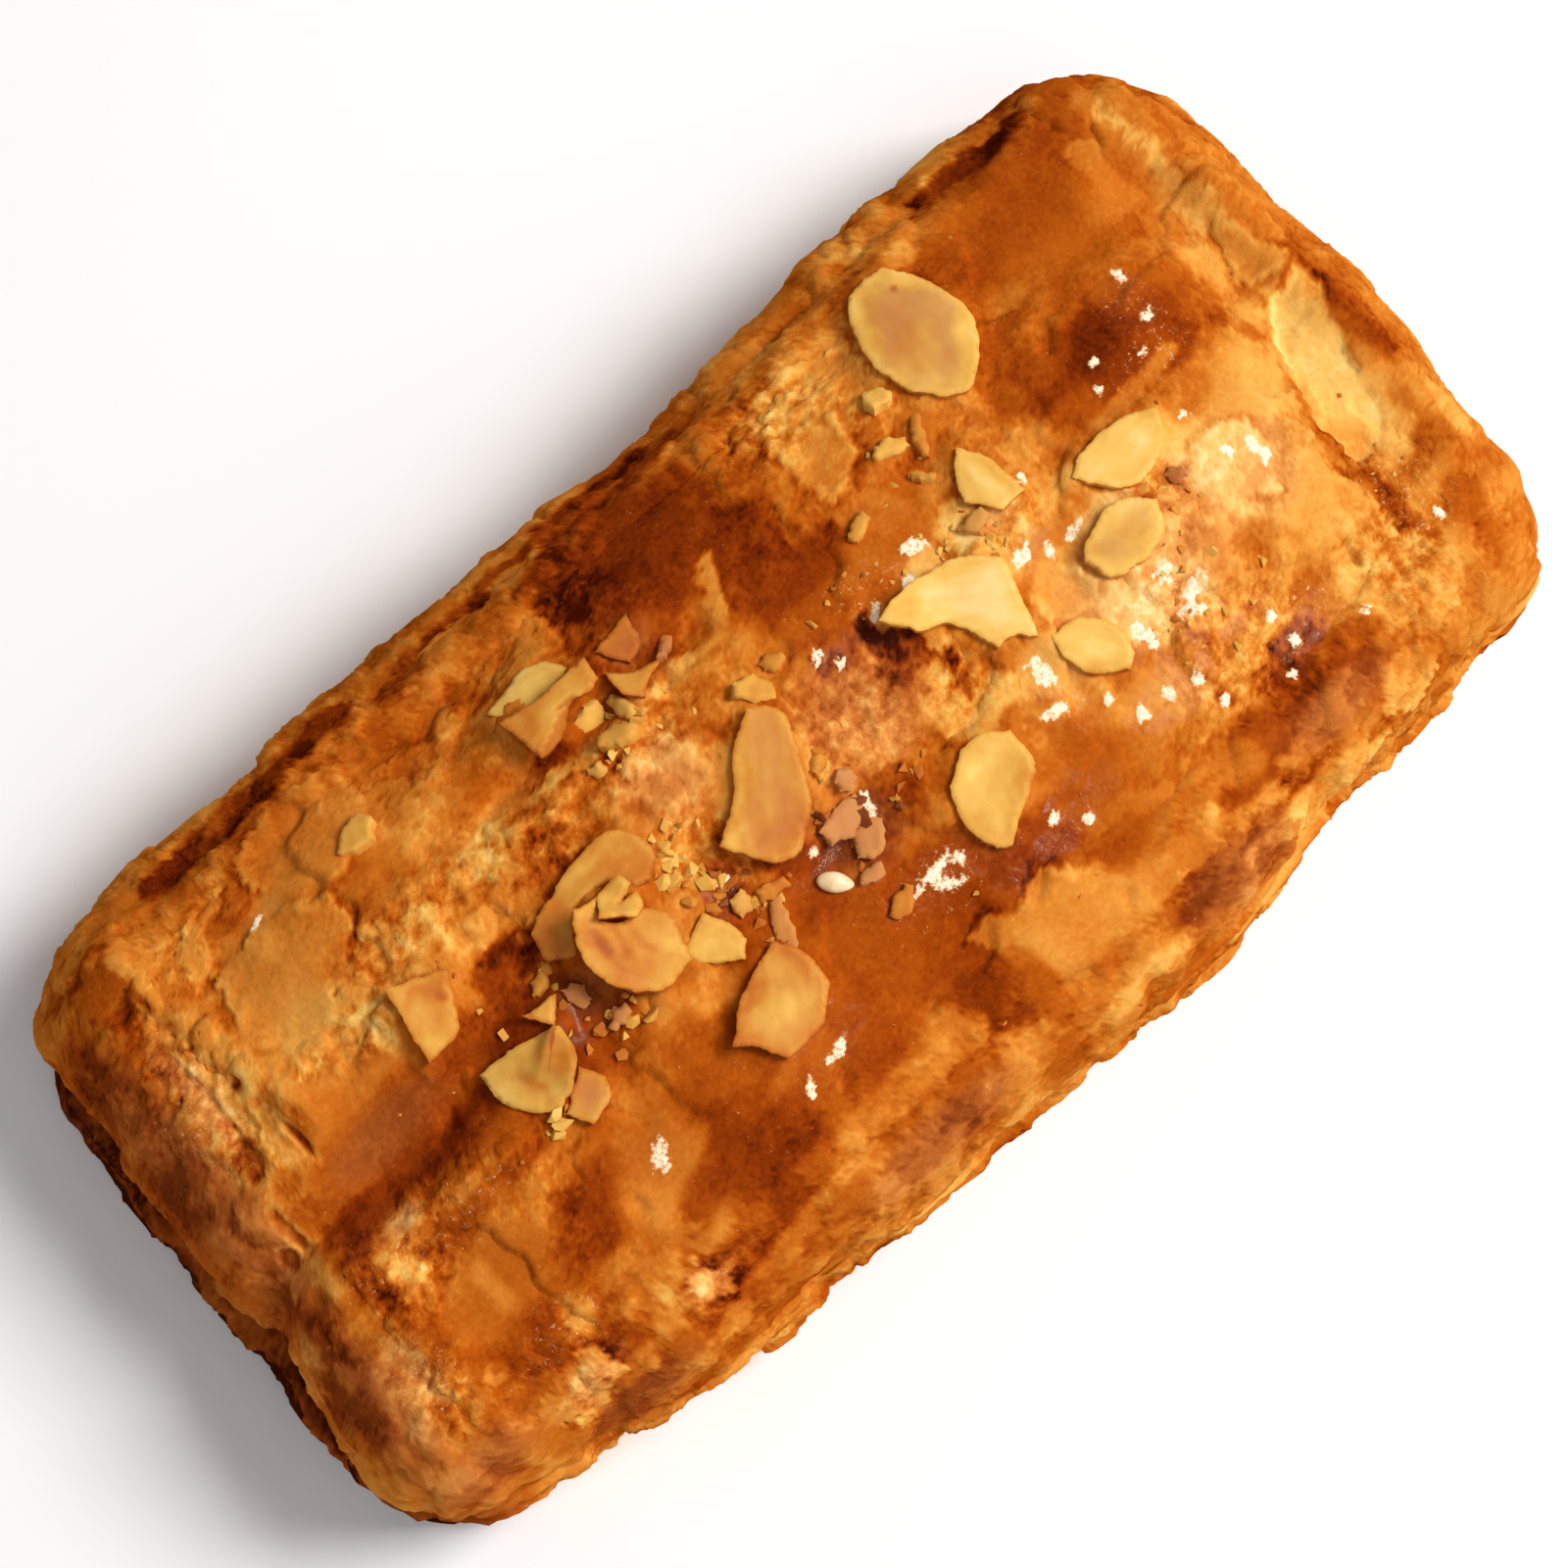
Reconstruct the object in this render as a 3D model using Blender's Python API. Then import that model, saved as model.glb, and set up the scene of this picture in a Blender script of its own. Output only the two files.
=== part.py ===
"""An apple puff pastry: a rectangular pillow of baked puff dough, folded shut at both ends, with
flaked almonds on its glazed top.

The shape functions work in millimetres, and to_metres() scales each finished mesh. The origin is
at the middle of the base. +X runs along the pastry, away from the end with the open fold, and +Z
is up.
"""

import itertools
import math

import bmesh
import bpy
import numpy as np
from mathutils import Matrix, Vector
from mathutils.bvhtree import BVHTree

MM = 0.001

# The pillow
LENGTH = 128.6
WIDTH = 62.2
CORNER_RADIUS = 11.5
HEIGHT_AT_EDGE = 23.0
DOME_RISE = 7.0
EDGE_ROUND = 9.0  # how far in from the side the top starts to turn down
EDGE_DROP = 12.0  # how far the turn takes it down
FOOT_RADIUS = 2.5
SIDE_BULGE = 0.7
FRONT_BOW = 4.0  # the front side swells out in its middle by this much
FRONT_BOW_AT_X = 8.0
BACK_WAIST = 1.0  # the back side draws in by this much in its middle
FAR_END_BOW = 1.2
NEAR_END_SKEW = 0.06  # the -X end isn't quite square to the sides

# The tables here measure from the middle of the unbent pillow: this moves all to the origin
CENTRE_SHIFT = (0.12, 2.62, 0)

# Where the plan's outline swells or draws in: x, y, reach, shift along x, shift along y
PLAN_SHIFTS = {
    "far_front_corner": (62, -31, 7, 1.3, -1.0),
    "far_end_hollow": (64, -21, 8, -2.3, 0),
    "back_waist": (9, 31, 9, 0, -1.6),
    "back_swell": (31, 31, 8, 0, 1.0),
    "near_front_corner": (-63, -24, 7, -1.0, 0),
    "near_end_hollow": (-66, -10, 7, 1.1, 0),
    "near_back_hollow": (-52, 30, 9, 0, -0.5),
    "front_hollow": (-51, -32, 7, 0, 1.2),
    "front_swell": (15, -34, 9, 0, -1.1),
    "front_hollow_far": (39, -33, 7, 0, 0.7),
}

# The open fold under the -X end
FOLD_HEIGHT = 7.6
FOLD_HALF_GAP = 3.4
FOLD_DEPTH = 5.0
FOLD_FROM_Y, FOLD_TO_Y = -19.0, 26.0
FOLD_LIP = 2.4  # the bottom sheet stands out past the roll above it

# The mesh
COLUMNS, ROWS = 60, 27
CROWDING = 0.66  # columns and rows stand closer together towards the corners
TURN_RINGS, WALL_RINGS, FOOT_RINGS = 4, 6, 2
NOISE_SEED = 11
CHIP_SEED = 5
SKY = 60.0  # higher than anything here

# Almonds
SLICE_THICKNESS = 1.0
SEAT_GAP = 0.35  # slices lie this far clear of the crust and of each other
BEND = 0.75  # how far a slice follows the ground under it
SLICE_SEGMENT = 3.2
SEAT_STEP = 0.45  # spacing of the points where a slice's clearance is taken
CHIP_HEIGHT = 0.75
CHIP_DEPTH = 0.5  # how far a chip's foot reaches down into the crust
CHIP_CORNERS = 6
SEED_SIZE = (3.1, 1.8, 1.3)

# Swellings and hollows of the top: x, y, reach along x, reach along y, height
SWELLINGS = {
    "left_back_lobe": (-42, 12, 15, 11, 1.5),
    "left_front_lobe": (-43, -17, 15, 10, 1.4),
    "crumpled_middle": (-10, 3, 12, 8, 1.2),
    "smooth_back_dome": (1, 18, 11, 8, 1.3),
    "pale_right": (38, -9, 12, 8, 1.3),
    "dark_right": (41, 7, 9, 5, 1.0),
    "golden_front": (8, -26, 10, 5, 1.0),
    "front_left": (-21, -21, 9, 7, 0.9),
    "hollow_by_curls": (-29, 1, 4, 3, -1.2),
    "hollow_by_slice": (10, 0, 3, 3, -1.1),
    "hollow_front": (-3, -11, 6, 3, -0.8),
    "hollow_back": (-18, 19, 5, 4, -0.8),
    "hollow_right": (24, 9, 5, 5, -0.8),
}

# Folds of the dough: from x, y, to x, y, half width, height
FOLDS = {
    "crease_between_lobes": (-66, -5, -37, -5.5, 2.6, -2.4),
    "ridge_over_end_back": (-52.5, 23, -49.5, 3, 2.0, 1.2),
    "ridge_over_end_front": (-54, -9, -55, -25, 2.2, 0.8),
    "trough_at_far_end": (55, 14, 53, -15, 3.2, -1.6),
    "rim_at_far_end": (59, 21, 60, -24, 1.8, 1.0),
    "seam_of_middle": (-24, 10, 0, 11.5, 1.6, -0.9),
    "front_seam": (-34, -29, 2, -31, 1.6, -0.8),
    "back_seam": (-48, 26.5, 51, 26.5, 1.4, -0.9),
}

# Blisters that burst in the ends: x, y, height of the middle, radius, depth
BURST_BLISTERS = {
    "end_large": (-57.0, 3.8, 21.0, 2.2, 1.4),
    "end_upper": (-51.8, 8.7, 23.5, 1.4, 1.2),
    "end_slit": (-58.5, -1.5, 20.0, 1.6, 1.1),
    "far_corner": (58.5, 24.0, 20.0, 1.8, 1.2),
    "far_front": (61.0, -9.0, 18.5, 2.0, 1.1),
}

# Outlines of the almond slices, x and y of each corner, the lowest slice first
SLICES = {
    "almond_round": [
        (29.1, 23.3), (30.7, 23.7), (33.2, 23.5), (34.6, 20.8), (35.4, 16.7), (35.2, 14.6),
        (33.0, 12.3), (30.9, 10.2), (29.5, 10.3), (27.2, 12.6), (26.2, 16.0), (27.0, 20.3),
    ],
    "almond_oval": [
        (26.8, -7.2), (28.0, -6.2), (31.8, -5.2), (33.4, -5.9), (34.7, -7.4), (33.6, -9.4),
        (31.6, -10.3), (28.8, -10.2), (27.3, -9.6),
    ],
    "almond_leaf": [
        (31.0, -1.3), (33.4, -0.2), (38.2, -0.5), (40.5, -1.6), (39.2, -3.9), (37.0, -5.1),
        (34.0, -5.2), (31.8, -2.8),
    ],
    "almond_kite": [
        (25.9, 7.0), (27.2, 4.0), (27.2, 0.6), (24.8, 0.4), (22.9, 3.1), (24.1, 5.4),
    ],
    "almond_wedge": [
        (20.5, -9.7), (23.3, -10.2), (25.1, -12.8), (24.8, -15.4), (23.5, -16.0), (20.8, -14.1),
        (20.1, -11.9),
    ],
    "almond_star": [
        (10.8, 0.4), (13.0, 1.0), (15.9, 0.6), (19.6, -0.2), (22.1, -2.6), (21.2, -5.2),
        (19.6, -9.0), (17.9, -7.7), (16.6, -7.6), (15.1, -3.5), (13.0, -2.6),
    ],
    "almond_golden": [
        (4.7, -15.6), (5.7, -13.6), (8.0, -12.0), (10.2, -11.6), (12.6, -13.2), (12.4, -16.6),
        (9.5, -18.4), (6.4, -20.0), (5.3, -19.4),
    ],
    "almond_brown": [
        (-2.1, 2.3), (-0.8, 1.5), (-0.1, 0.1), (-0.6, -1.4), (-3.3, -6.6), (-4.9, -7.9),
        (-6.6, -8.9), (-8.4, -8.7), (-9.6, -7.4), (-11.3, -4.5), (-7.5, -2.1), (-5.6, 0.2),
    ],
    "almond_front": [
        (-21.4, -16.9), (-17.8, -14.2), (-13.2, -12.8), (-12.0, -15.0), (-12.2, -18.3),
        (-15.3, -20.4), (-18.7, -20.4), (-19.9, -18.4),
    ],
    "almond_square": [
        (-19.2, -8.6), (-15.8, -7.4), (-15.0, -9.1), (-14.5, -11.2), (-15.8, -12.4), (-18.8, -10.0),
    ],
    "almond_cream": [
        (-34.8, -11.5), (-33.8, -11.0), (-31.3, -9.5), (-30.3, -11.5), (-31.0, -13.0), (-33.6, -13.8),
    ],
    "almond_crescent": [
        (-37.5, -4.4), (-34.9, -4.7), (-30.3, -6.0), (-30.8, -8.4), (-32.4, -10.3), (-34.6, -11.0),
        (-36.2, -10.0), (-37.6, -7.6),
    ],
    "almond_shard": [
        (-34.9, -5.2), (-33.0, -3.4), (-28.8, -4.1), (-30.5, -5.9), (-33.5, -8.5),
    ],
    "almond_stub": [
        (-38.5, 5.4), (-33.6, 3.2), (-34.6, 1.9), (-36.1, -0.8), (-39.9, -1.4), (-39.1, 2.8),
    ],
    "almond_back": [
        (-17.1, 17.0), (-14.6, 17.6), (-12.5, 17.9), (-11.0, 17.0), (-10.1, 15.2), (-13.2, 14.6),
        (-16.4, 15.0),
    ],
    "almond_saddle": [
        (-17.2, 15.2), (-14.2, 14.7), (-8.6, 14.6), (-9.0, 12.5), (-10.3, 12.2), (-13.1, 12.9),
        (-13.4, 11.3), (-15.0, 10.8), (-16.9, 10.6),
    ],
    "almond_tan": [
        (-7.6, 14.7), (-3.5, 15.2), (-4.2, 12.8), (-6.0, 12.0),
    ],
    "almond_grey": [
        (-8.2, 13.0), (-6.7, 11.6), (-3.9, 10.5), (-5.6, 9.9), (-7.2, 8.9), (-8.4, 10.4),
    ],
    "almond_curl_band": [
        (-27.1, 0.9), (-24.6, 1.7), (-19.9, 2.6), (-17.9, 2.6), (-16.2, 1.7), (-15.4, 0.0),
        (-15.6, -1.6), (-17.2, -2.7), (-18.6, -2.2), (-19.2, -0.6), (-22.9, -0.2), (-25.6, -2.8),
        (-27.5, -1.7),
    ],
    "almond_curl_cup": [
        (-23.5, -0.5), (-21.4, -1.0), (-22.4, -2.6), (-21.3, -3.6), (-18.9, -4.4), (-17.9, -6.2),
        (-18.6, -8.0), (-18.9, -9.7), (-22.4, -9.8), (-24.6, -8.0), (-25.6, -5.0), (-24.6, -1.9),
    ],
    "almond_on_curls": [
        (-21.1, -0.8), (-18.9, -0.8), (-18.5, -2.1), (-18.9, -3.8), (-20.2, -4.4), (-22.6, -2.6),
    ],
}

# Slices with one side curled up: the heading of that side in degrees, and its rise
CURLS = {
    "almond_star": (165, 1.6),
    "almond_curl_cup": (170, 1.6),
    "almond_brown": (235, 0.8),
    "almond_front": (200, 0.8),
    "almond_cream": (230, 0.8),
    "almond_stub": (160, 0.8),
}

# Chips too small to lie as slices of their own: x, y, length, width, heading in degrees
CHIPS = {
    "square": (24.2, 14.8, 2.6, 2.5, -18),
    "cream": (22.2, 10.9, 3.5, 1.9, 42),
    "bow": (24.5, 9.9, 4.4, 1.5, 62),
    "strip": (22.2, 7.2, 3.0, 1.1, -28),
    "block": (15.3, 7.4, 2.8, 1.6, 35),
    "underlay": (22.4, 1.3, 3.0, 1.9, -60),
    "lobe_flake": (-31.8, 16.6, 4.0, 2.9, 25),
    "back_low": (-11.0, 7.7, 4.0, 1.8, -35),
    "back_bit": (-14.0, 7.0, 2.0, 1.5, 30),
    "back_orange": (-11.4, 11.2, 3.1, 2.6, 0),
    "back_long": (-8.9, 9.5, 3.4, 1.5, 52),
    "back_red": (-3.2, 11.0, 2.9, 1.6, 75),
    "gold": (-0.4, 3.9, 3.1, 2.8, 80),
    "gold_bit": (2.3, 4.0, 2.2, 1.5, 0),
    "gold_strip": (-0.9, -4.6, 2.2, 1.5, -15),
    "wet_left": (-2.2, -9.0, 3.4, 2.0, -8),
    "wet_top": (0.0, -6.9, 2.1, 1.8, 0),
    "wet_low": (-1.9, -11.6, 3.4, 2.1, -5),
    "wet_foot": (-3.6, -14.0, 2.3, 1.6, 20),
    "front": (-3.1, -17.2, 3.1, 1.6, 5),
    "red_bit": (37.8, -6.9, 2.0, 1.6, 0),
    "long": (-11.6, -12.2, 5.2, 1.9, -42),
    "pale": (-13.0, -8.8, 2.3, 2.0, 20),
    "pointed": (-10.2, -9.4, 3.0, 1.6, -5),
    "by_curl": (-29.1, -2.6, 2.8, 1.2, 20),
    "by_curl_tan": (-27.6, -5.0, 2.6, 2.0, 70),
    "under_curl": (-26.3, -9.0, 2.5, 1.4, -60),
}
SEED = (-6.1, -12.5, -51)  # a sesame seed: x, y and heading


def smooth_step(value, low, high):
    """0 below low and 1 above high, with a smooth rise between."""
    share = np.clip((value - low) / (high - low), 0.0, 1.0)
    return share * share * (3.0 - 2.0 * share)


def mound(distance):
    """1 at distance 0, falling smoothly to nearly 0 at distance 2."""
    return np.exp(-distance * distance)


class Noise:
    """Gradient noise of points in space, from about -1 to 1."""

    def __init__(self, seed):
        draw = np.random.RandomState(seed)
        self.order = draw.permutation(256)
        directions = draw.normal(size=(256, 3))
        self.directions = directions / np.linalg.norm(directions, axis=1)[:, None]

    def at(self, points):
        cell = np.floor(points).astype(int)
        inside = points - cell
        fade = inside**3 * (inside * (inside * 6.0 - 15.0) + 10.0)
        total = np.zeros(len(points))
        for corner in itertools.product((0, 1), repeat=3):
            x, y, z = (cell + corner).T
            chosen = self.order[(self.order[(self.order[x & 255] + y) & 255] + z) & 255]
            along = (self.directions[chosen] * (inside - corner)).sum(axis=1)
            share = np.where(np.array(corner), fade, 1.0 - fade).prod(axis=1)
            total += along * share
        return total * 1.7

    def layered(self, points, size, octaves):
        """Noise whose largest lumps are about size across, with finer ones on them."""
        total = np.zeros(len(points))
        for octave in range(octaves):
            total += self.at(points * (2.0**octave / size) + 17.0 * octave) * 0.5**octave
        return total


def rounded_plan(x, y, half_x, half_y, radius):
    """Draws in the corners of a flat rectangle's points. Returns x, y and the outward direction."""
    core_x = np.clip(x, -(half_x - radius), half_x - radius)
    core_y = np.clip(y, -(half_y - radius), half_y - radius)
    off_x, off_y = x - core_x, y - core_y
    length = np.maximum(np.hypot(off_x, off_y), 1e-9)
    drawn_in = np.maximum(abs(off_x), abs(off_y)) / length
    return core_x + off_x * drawn_in, core_y + off_y * drawn_in, off_x / length, off_y / length


def ring_profile(ring):
    """How far out of the flat top's rim a ring lies, how far its turn has dropped, and its share of
    the way down the wall and round the foot."""
    turn = np.clip(ring / TURN_RINGS, 0, 1) * math.pi / 2
    wall = np.clip((ring - TURN_RINGS) / WALL_RINGS, 0, 1)
    foot = np.clip((ring - TURN_RINGS - WALL_RINGS) / FOOT_RINGS, 0, 1) * math.pi / 2
    out = EDGE_ROUND * np.sin(turn) + SIDE_BULGE * np.sin(wall * math.pi)
    return out - FOOT_RADIUS * (1 - np.cos(foot)), EDGE_DROP * (1 - np.cos(turn)), wall, foot


def base_form(x, y, ring):
    """The smooth pillow: x and y on the flat top, and the ring's number out from its rim."""
    half_x, half_y = LENGTH / 2 - EDGE_ROUND, WIDTH / 2 - EDGE_ROUND
    plan_x, plan_y, out_x, out_y = rounded_plan(x, y, half_x, half_y, CORNER_RADIUS - EDGE_ROUND)
    dome = (1 - abs(plan_x / (half_x + 4)) ** 2.6) * (1 - abs(plan_y / (half_y + 5)) ** 2.2)
    rim_height = HEIGHT_AT_EDGE + DOME_RISE * np.clip(dome, 0, 1)
    out, drop, wall, foot = ring_profile(ring)
    wall_top = rim_height - EDGE_DROP
    height = np.where(wall > 0, wall_top + (FOOT_RADIUS - wall_top) * wall, rim_height - drop)
    height = np.where(foot > 0, FOOT_RADIUS * (1 - np.sin(foot)), height)
    out = out + fold_offset(plan_y, height, out_x)
    return np.stack([*true_plan(plan_x + out_x * out, plan_y + out_y * out), height], axis=1)


def true_plan(x, y):
    """Bends the straight sides and ends of the plan as the baked dough has them."""
    share_x, share_y = x / (LENGTH / 2), y / (WIDTH / 2)
    front = FRONT_BOW * np.clip(1 - ((x - FRONT_BOW_AT_X) / (LENGTH / 2)) ** 2, 0, 1)
    back = BACK_WAIST * (1 - share_x**2)
    far_end = FAR_END_BOW * smooth_step(share_x, 0, 1) * (1 - share_y**2)
    near_end = NEAR_END_SKEW * smooth_step(-share_x, 0, 1) * y
    bent_x = x + far_end + near_end
    bent_y = y - front * smooth_step(-share_y, 0, 1) - back * smooth_step(share_y, 0, 1)
    for at_x, at_y, reach, shift_x, shift_y in PLAN_SHIFTS.values():
        near = mound(np.hypot(x - at_x, y - at_y) / reach)
        bent_x, bent_y = bent_x + shift_x * near, bent_y + shift_y * near
    return bent_x, bent_y


def fold_offset(y, height, out_x):
    """The slot between the roll of the -X end and the bottom sheet, and the sheet's lip."""
    across = smooth_step(y, FOLD_FROM_Y, FOLD_FROM_Y + 5) * (1 - smooth_step(y, FOLD_TO_Y - 4, FOLD_TO_Y))
    facing = smooth_step(-out_x, 0.75, 0.98) * across
    slot = np.clip(1 - ((height - FOLD_HEIGHT) / FOLD_HALF_GAP) ** 4, 0, 1)
    lip = 1 - smooth_step(height, FOLD_HEIGHT - FOLD_HALF_GAP - 1.5, FOLD_HEIGHT)
    return facing * (FOLD_LIP * lip - FOLD_DEPTH * slot * (1 - lip))


def segment_distance(x, y, from_x, from_y, to_x, to_y):
    along_x, along_y = to_x - from_x, to_y - from_y
    share = ((x - from_x) * along_x + (y - from_y) * along_y) / (along_x**2 + along_y**2)
    share = np.clip(share, 0, 1)
    return np.hypot(x - from_x - share * along_x, y - from_y - share * along_y)


def relief(points, noise):
    """How far the crust stands out of the smooth pillow at each point."""
    x, y, z = points.T
    on_top = smooth_step(z, 9, 19)
    raised = np.zeros(len(points))
    for at_x, at_y, reach_x, reach_y, height in SWELLINGS.values():
        raised += height * on_top * mound(np.hypot((x - at_x) / reach_x, (y - at_y) / reach_y))
    wander = 1.2 * noise.layered(points, 9, 2)
    for *ends, half_width, height in FOLDS.values():
        away = segment_distance(x, y + wander, *ends)
        raised += height * on_top * mound(away / half_width)
    for at_x, at_y, at_z, radius, depth in BURST_BLISTERS.values():
        away = np.sqrt((x - at_x) ** 2 + (y - at_y) ** 2 + (z - at_z) ** 2)
        raised -= depth * mound((away / radius) ** 2)
    raised += 0.75 * noise.layered(points, 14, 3)
    flaked = noise.layered(points * (1, 1, 0.4) + 40, 11, 3)
    raised += 0.45 * (smooth_step(flaked, -0.05, 0.05) - 0.5)
    sheets = noise.layered(points * (0.12, 0.12, 1.0) + 90, 4.0, 2)
    raised += 0.9 * (1 - on_top) * sheets
    return raised * smooth_step(z, 0.3, 4.0)


def crowded(values, half):
    """Evenly spaced values from -half to half, drawn towards both ends."""
    turn = math.pi / 2 * CROWDING
    return half * np.sin(values / half * turn) / math.sin(turn)


def pastry_shell():
    """The crust: a flat grid whose rim is extruded ring by ring, shaped, roughened and closed below."""
    half_x, half_y = LENGTH / 2 - EDGE_ROUND, WIDTH / 2 - EDGE_ROUND
    shell = bmesh.new()
    bmesh.ops.create_grid(shell, x_segments=COLUMNS, y_segments=ROWS, size=1.0)
    for vertex in shell.verts:
        vertex.co.x *= half_x
        vertex.co.y *= half_y
    rim = [edge for edge in shell.edges if edge.is_boundary]
    for ring in range(1, TURN_RINGS + WALL_RINGS + FOOT_RINGS + 1):
        made = bmesh.ops.extrude_edge_only(shell, edges=rim)["geom"]
        for vertex in (part for part in made if isinstance(part, bmesh.types.BMVert)):
            vertex.co.z = ring
        rim = [edge for edge in shell.edges if edge.is_boundary]
    flat = np.array([vertex.co for vertex in shell.verts])
    x, y = crowded(flat[:, 0], half_x), crowded(flat[:, 1], half_y)
    place_vertices(shell, base_form(x, y, flat[:, 2]))
    bmesh.ops.holes_fill(shell, edges=rim, sides=0)
    bmesh.ops.recalc_face_normals(shell, faces=shell.faces)
    shell.normal_update()
    normals = np.array([vertex.normal for vertex in shell.verts])
    points = np.array([vertex.co for vertex in shell.verts])
    points += normals * relief(points, Noise(NOISE_SEED))[:, None]
    points[points[:, 2] < 0.05, 2] = 0.0
    place_vertices(shell, points)
    return shell


def place_vertices(mesh, points):
    for vertex, point in zip(mesh.verts, points):
        vertex.co = point


def height_at(x, y, supports):
    """The highest surface over a point of the plan, or None beside them all."""
    hits = [tree.ray_cast(Vector((x, y, SKY)), Vector((0, 0, -1)))[0] for tree in supports]
    return max((hit.z for hit in hits if hit), default=None)


def chip_plate(x, y, length, width, heading, crust, draw):
    """A broken flake of almond: an uneven plate, its foot sunk in the crust."""
    spot, normal, _, _ = crust.ray_cast(Vector((x, y, SKY)), Vector((0, 0, -1)))
    upright = normal.to_track_quat("Z", "Y").to_matrix()
    turn = math.radians(heading)
    plate = bmesh.new()
    rings = []
    outline = []
    for corner in range(CHIP_CORNERS):
        angle = 2 * math.pi * (corner + 0.5) / CHIP_CORNERS
        reach = draw.uniform(0.85, 1.15)
        outline.append(Vector((length / 2 * math.cos(angle), width / 2 * math.sin(angle), 0)) * reach)
    for level, spread in ((-CHIP_DEPTH, 1.0), (CHIP_HEIGHT, 0.88)):
        ring = []
        for corner in outline:
            point = Matrix.Rotation(turn, 3, "Z") @ (corner * spread) + Vector((0, 0, level))
            ring.append(plate.verts.new(spot + upright @ point))
        rings.append(ring)
    close_rings(plate, rings)
    return plate


def close_rings(mesh, rings):
    """Joins rings of vertices one to the next, and closes both ends."""
    for low, high in zip(rings, rings[1:]):
        for at in range(len(low)):
            after = (at + 1) % len(low)
            mesh.faces.new((low[at], low[after], high[after], high[at]))
    mesh.faces.new(rings[0][::-1])
    mesh.faces.new(rings[-1])


def sesame_seed(crust):
    x, y, heading = SEED
    seed = bmesh.new()
    bmesh.ops.create_uvsphere(seed, u_segments=8, v_segments=5, radius=0.5)
    bmesh.ops.scale(seed, vec=SEED_SIZE, verts=seed.verts)
    bmesh.ops.rotate(seed, matrix=Matrix.Rotation(math.radians(heading), 3, "Z"), verts=seed.verts)
    rest = height_at(x, y, [crust]) + SEED_SIZE[2] * 0.3
    bmesh.ops.translate(seed, vec=(x, y, rest), verts=seed.verts)
    return seed


def slice_sheet(outline):
    """A flat sheet with the outline, cut into squares so that it can bend."""
    sheet = bmesh.new()
    sheet.faces.new([sheet.verts.new((x, y, 0)) for x, y in outline])
    for axis in (0, 1):
        low, high = min(corner[axis] for corner in outline), max(corner[axis] for corner in outline)
        pieces = max(2, round((high - low) / SLICE_SEGMENT))
        for cut in range(1, pieces):
            through, across = Vector((0, 0, 0)), Vector((0, 0, 0))
            through[axis] = low + (high - low) * cut / pieces
            across[axis] = 1
            everything = sheet.verts[:] + sheet.edges[:] + sheet.faces[:]
            bmesh.ops.bisect_plane(sheet, geom=everything, plane_co=through, plane_no=across)
    return sheet


def curl_rise(points, heading, rise):
    """How far the curled side of a slice stands up at each of its points."""
    side = math.radians(heading)
    along = points[:, 0] * math.cos(side) + points[:, 1] * math.sin(side)
    share = (along - along.min()) / (along.max() - along.min())
    return rise * smooth_step(share, 0.4, 1.0) * share


def almond_slice(name, supports):
    """A slice laid on what is under it: tilted and bent with the ground, then lifted clear of it."""
    sheet = slice_sheet(SLICES[name])
    points = np.array([vertex.co for vertex in sheet.verts])
    ground = np.array([height_at(x, y, supports) for x, y, _ in points])
    plan = np.column_stack([points[:, :2], np.ones(len(points))])
    level = plan @ np.linalg.lstsq(plan, ground, rcond=None)[0]
    points[:, 2] = level + BEND * (ground - level)
    if name in CURLS:
        points[:, 2] += curl_rise(points, *CURLS[name])
    place_vertices(sheet, points)
    own = [BVHTree.FromBMesh(sheet)]
    lowest_gap = (points[:, 2] - ground).min()
    for x in np.arange(points[:, 0].min(), points[:, 0].max(), SEAT_STEP):
        for y in np.arange(points[:, 1].min(), points[:, 1].max(), SEAT_STEP):
            height = height_at(x, y, own)
            if height is not None:
                lowest_gap = min(lowest_gap, height - height_at(x, y, supports))
    bmesh.ops.translate(sheet, vec=(0, 0, SEAT_GAP - lowest_gap), verts=sheet.verts)
    bmesh.ops.recalc_face_normals(sheet, faces=sheet.faces)
    upper = bmesh.ops.extrude_face_region(sheet, geom=sheet.faces[:], use_keep_orig=True)["geom"]
    bmesh.ops.translate(
        sheet,
        vec=(0, 0, SLICE_THICKNESS),
        verts=[part for part in upper if isinstance(part, bmesh.types.BMVert)],
    )
    bmesh.ops.recalc_face_normals(sheet, faces=sheet.faces)
    return sheet


def new_object(name, made, material, collection):
    """Turns a finished bmesh, in millimetres, into an object in metres about the origin."""
    bmesh.ops.translate(made, vec=CENTRE_SHIFT, verts=made.verts)
    bmesh.ops.scale(made, vec=(MM, MM, MM), verts=made.verts)
    mesh_data = bpy.data.meshes.new(name)
    made.to_mesh(mesh_data)
    made.free()
    mesh_data.materials.append(material)
    finished = bpy.data.objects.new(name, mesh_data)
    collection.objects.link(finished)
    return finished


def fuse(target, pieces):
    """Joins a collection's pieces to the target as one solid, and removes them."""
    union = target.modifiers.new("fuse", "BOOLEAN")
    union.operation = "UNION"
    union.solver = "EXACT"
    union.operand_type = "COLLECTION"
    union.collection = pieces
    evaluated = target.evaluated_get(bpy.context.evaluated_depsgraph_get())
    fused = bpy.data.meshes.new_from_object(evaluated)
    target.modifiers.remove(union)
    target.data = fused
    for piece in list(pieces.objects):
        bpy.data.objects.remove(piece)
    bpy.data.collections.remove(pieces)


def plain_material(name, colour, roughness):
    material = bpy.data.materials.new(name)
    material.use_nodes = True
    shader = material.node_tree.nodes["Principled BSDF"]
    shader.inputs["Base Color"].default_value = (*colour, 1.0)
    shader.inputs["Roughness"].default_value = roughness
    return material


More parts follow.
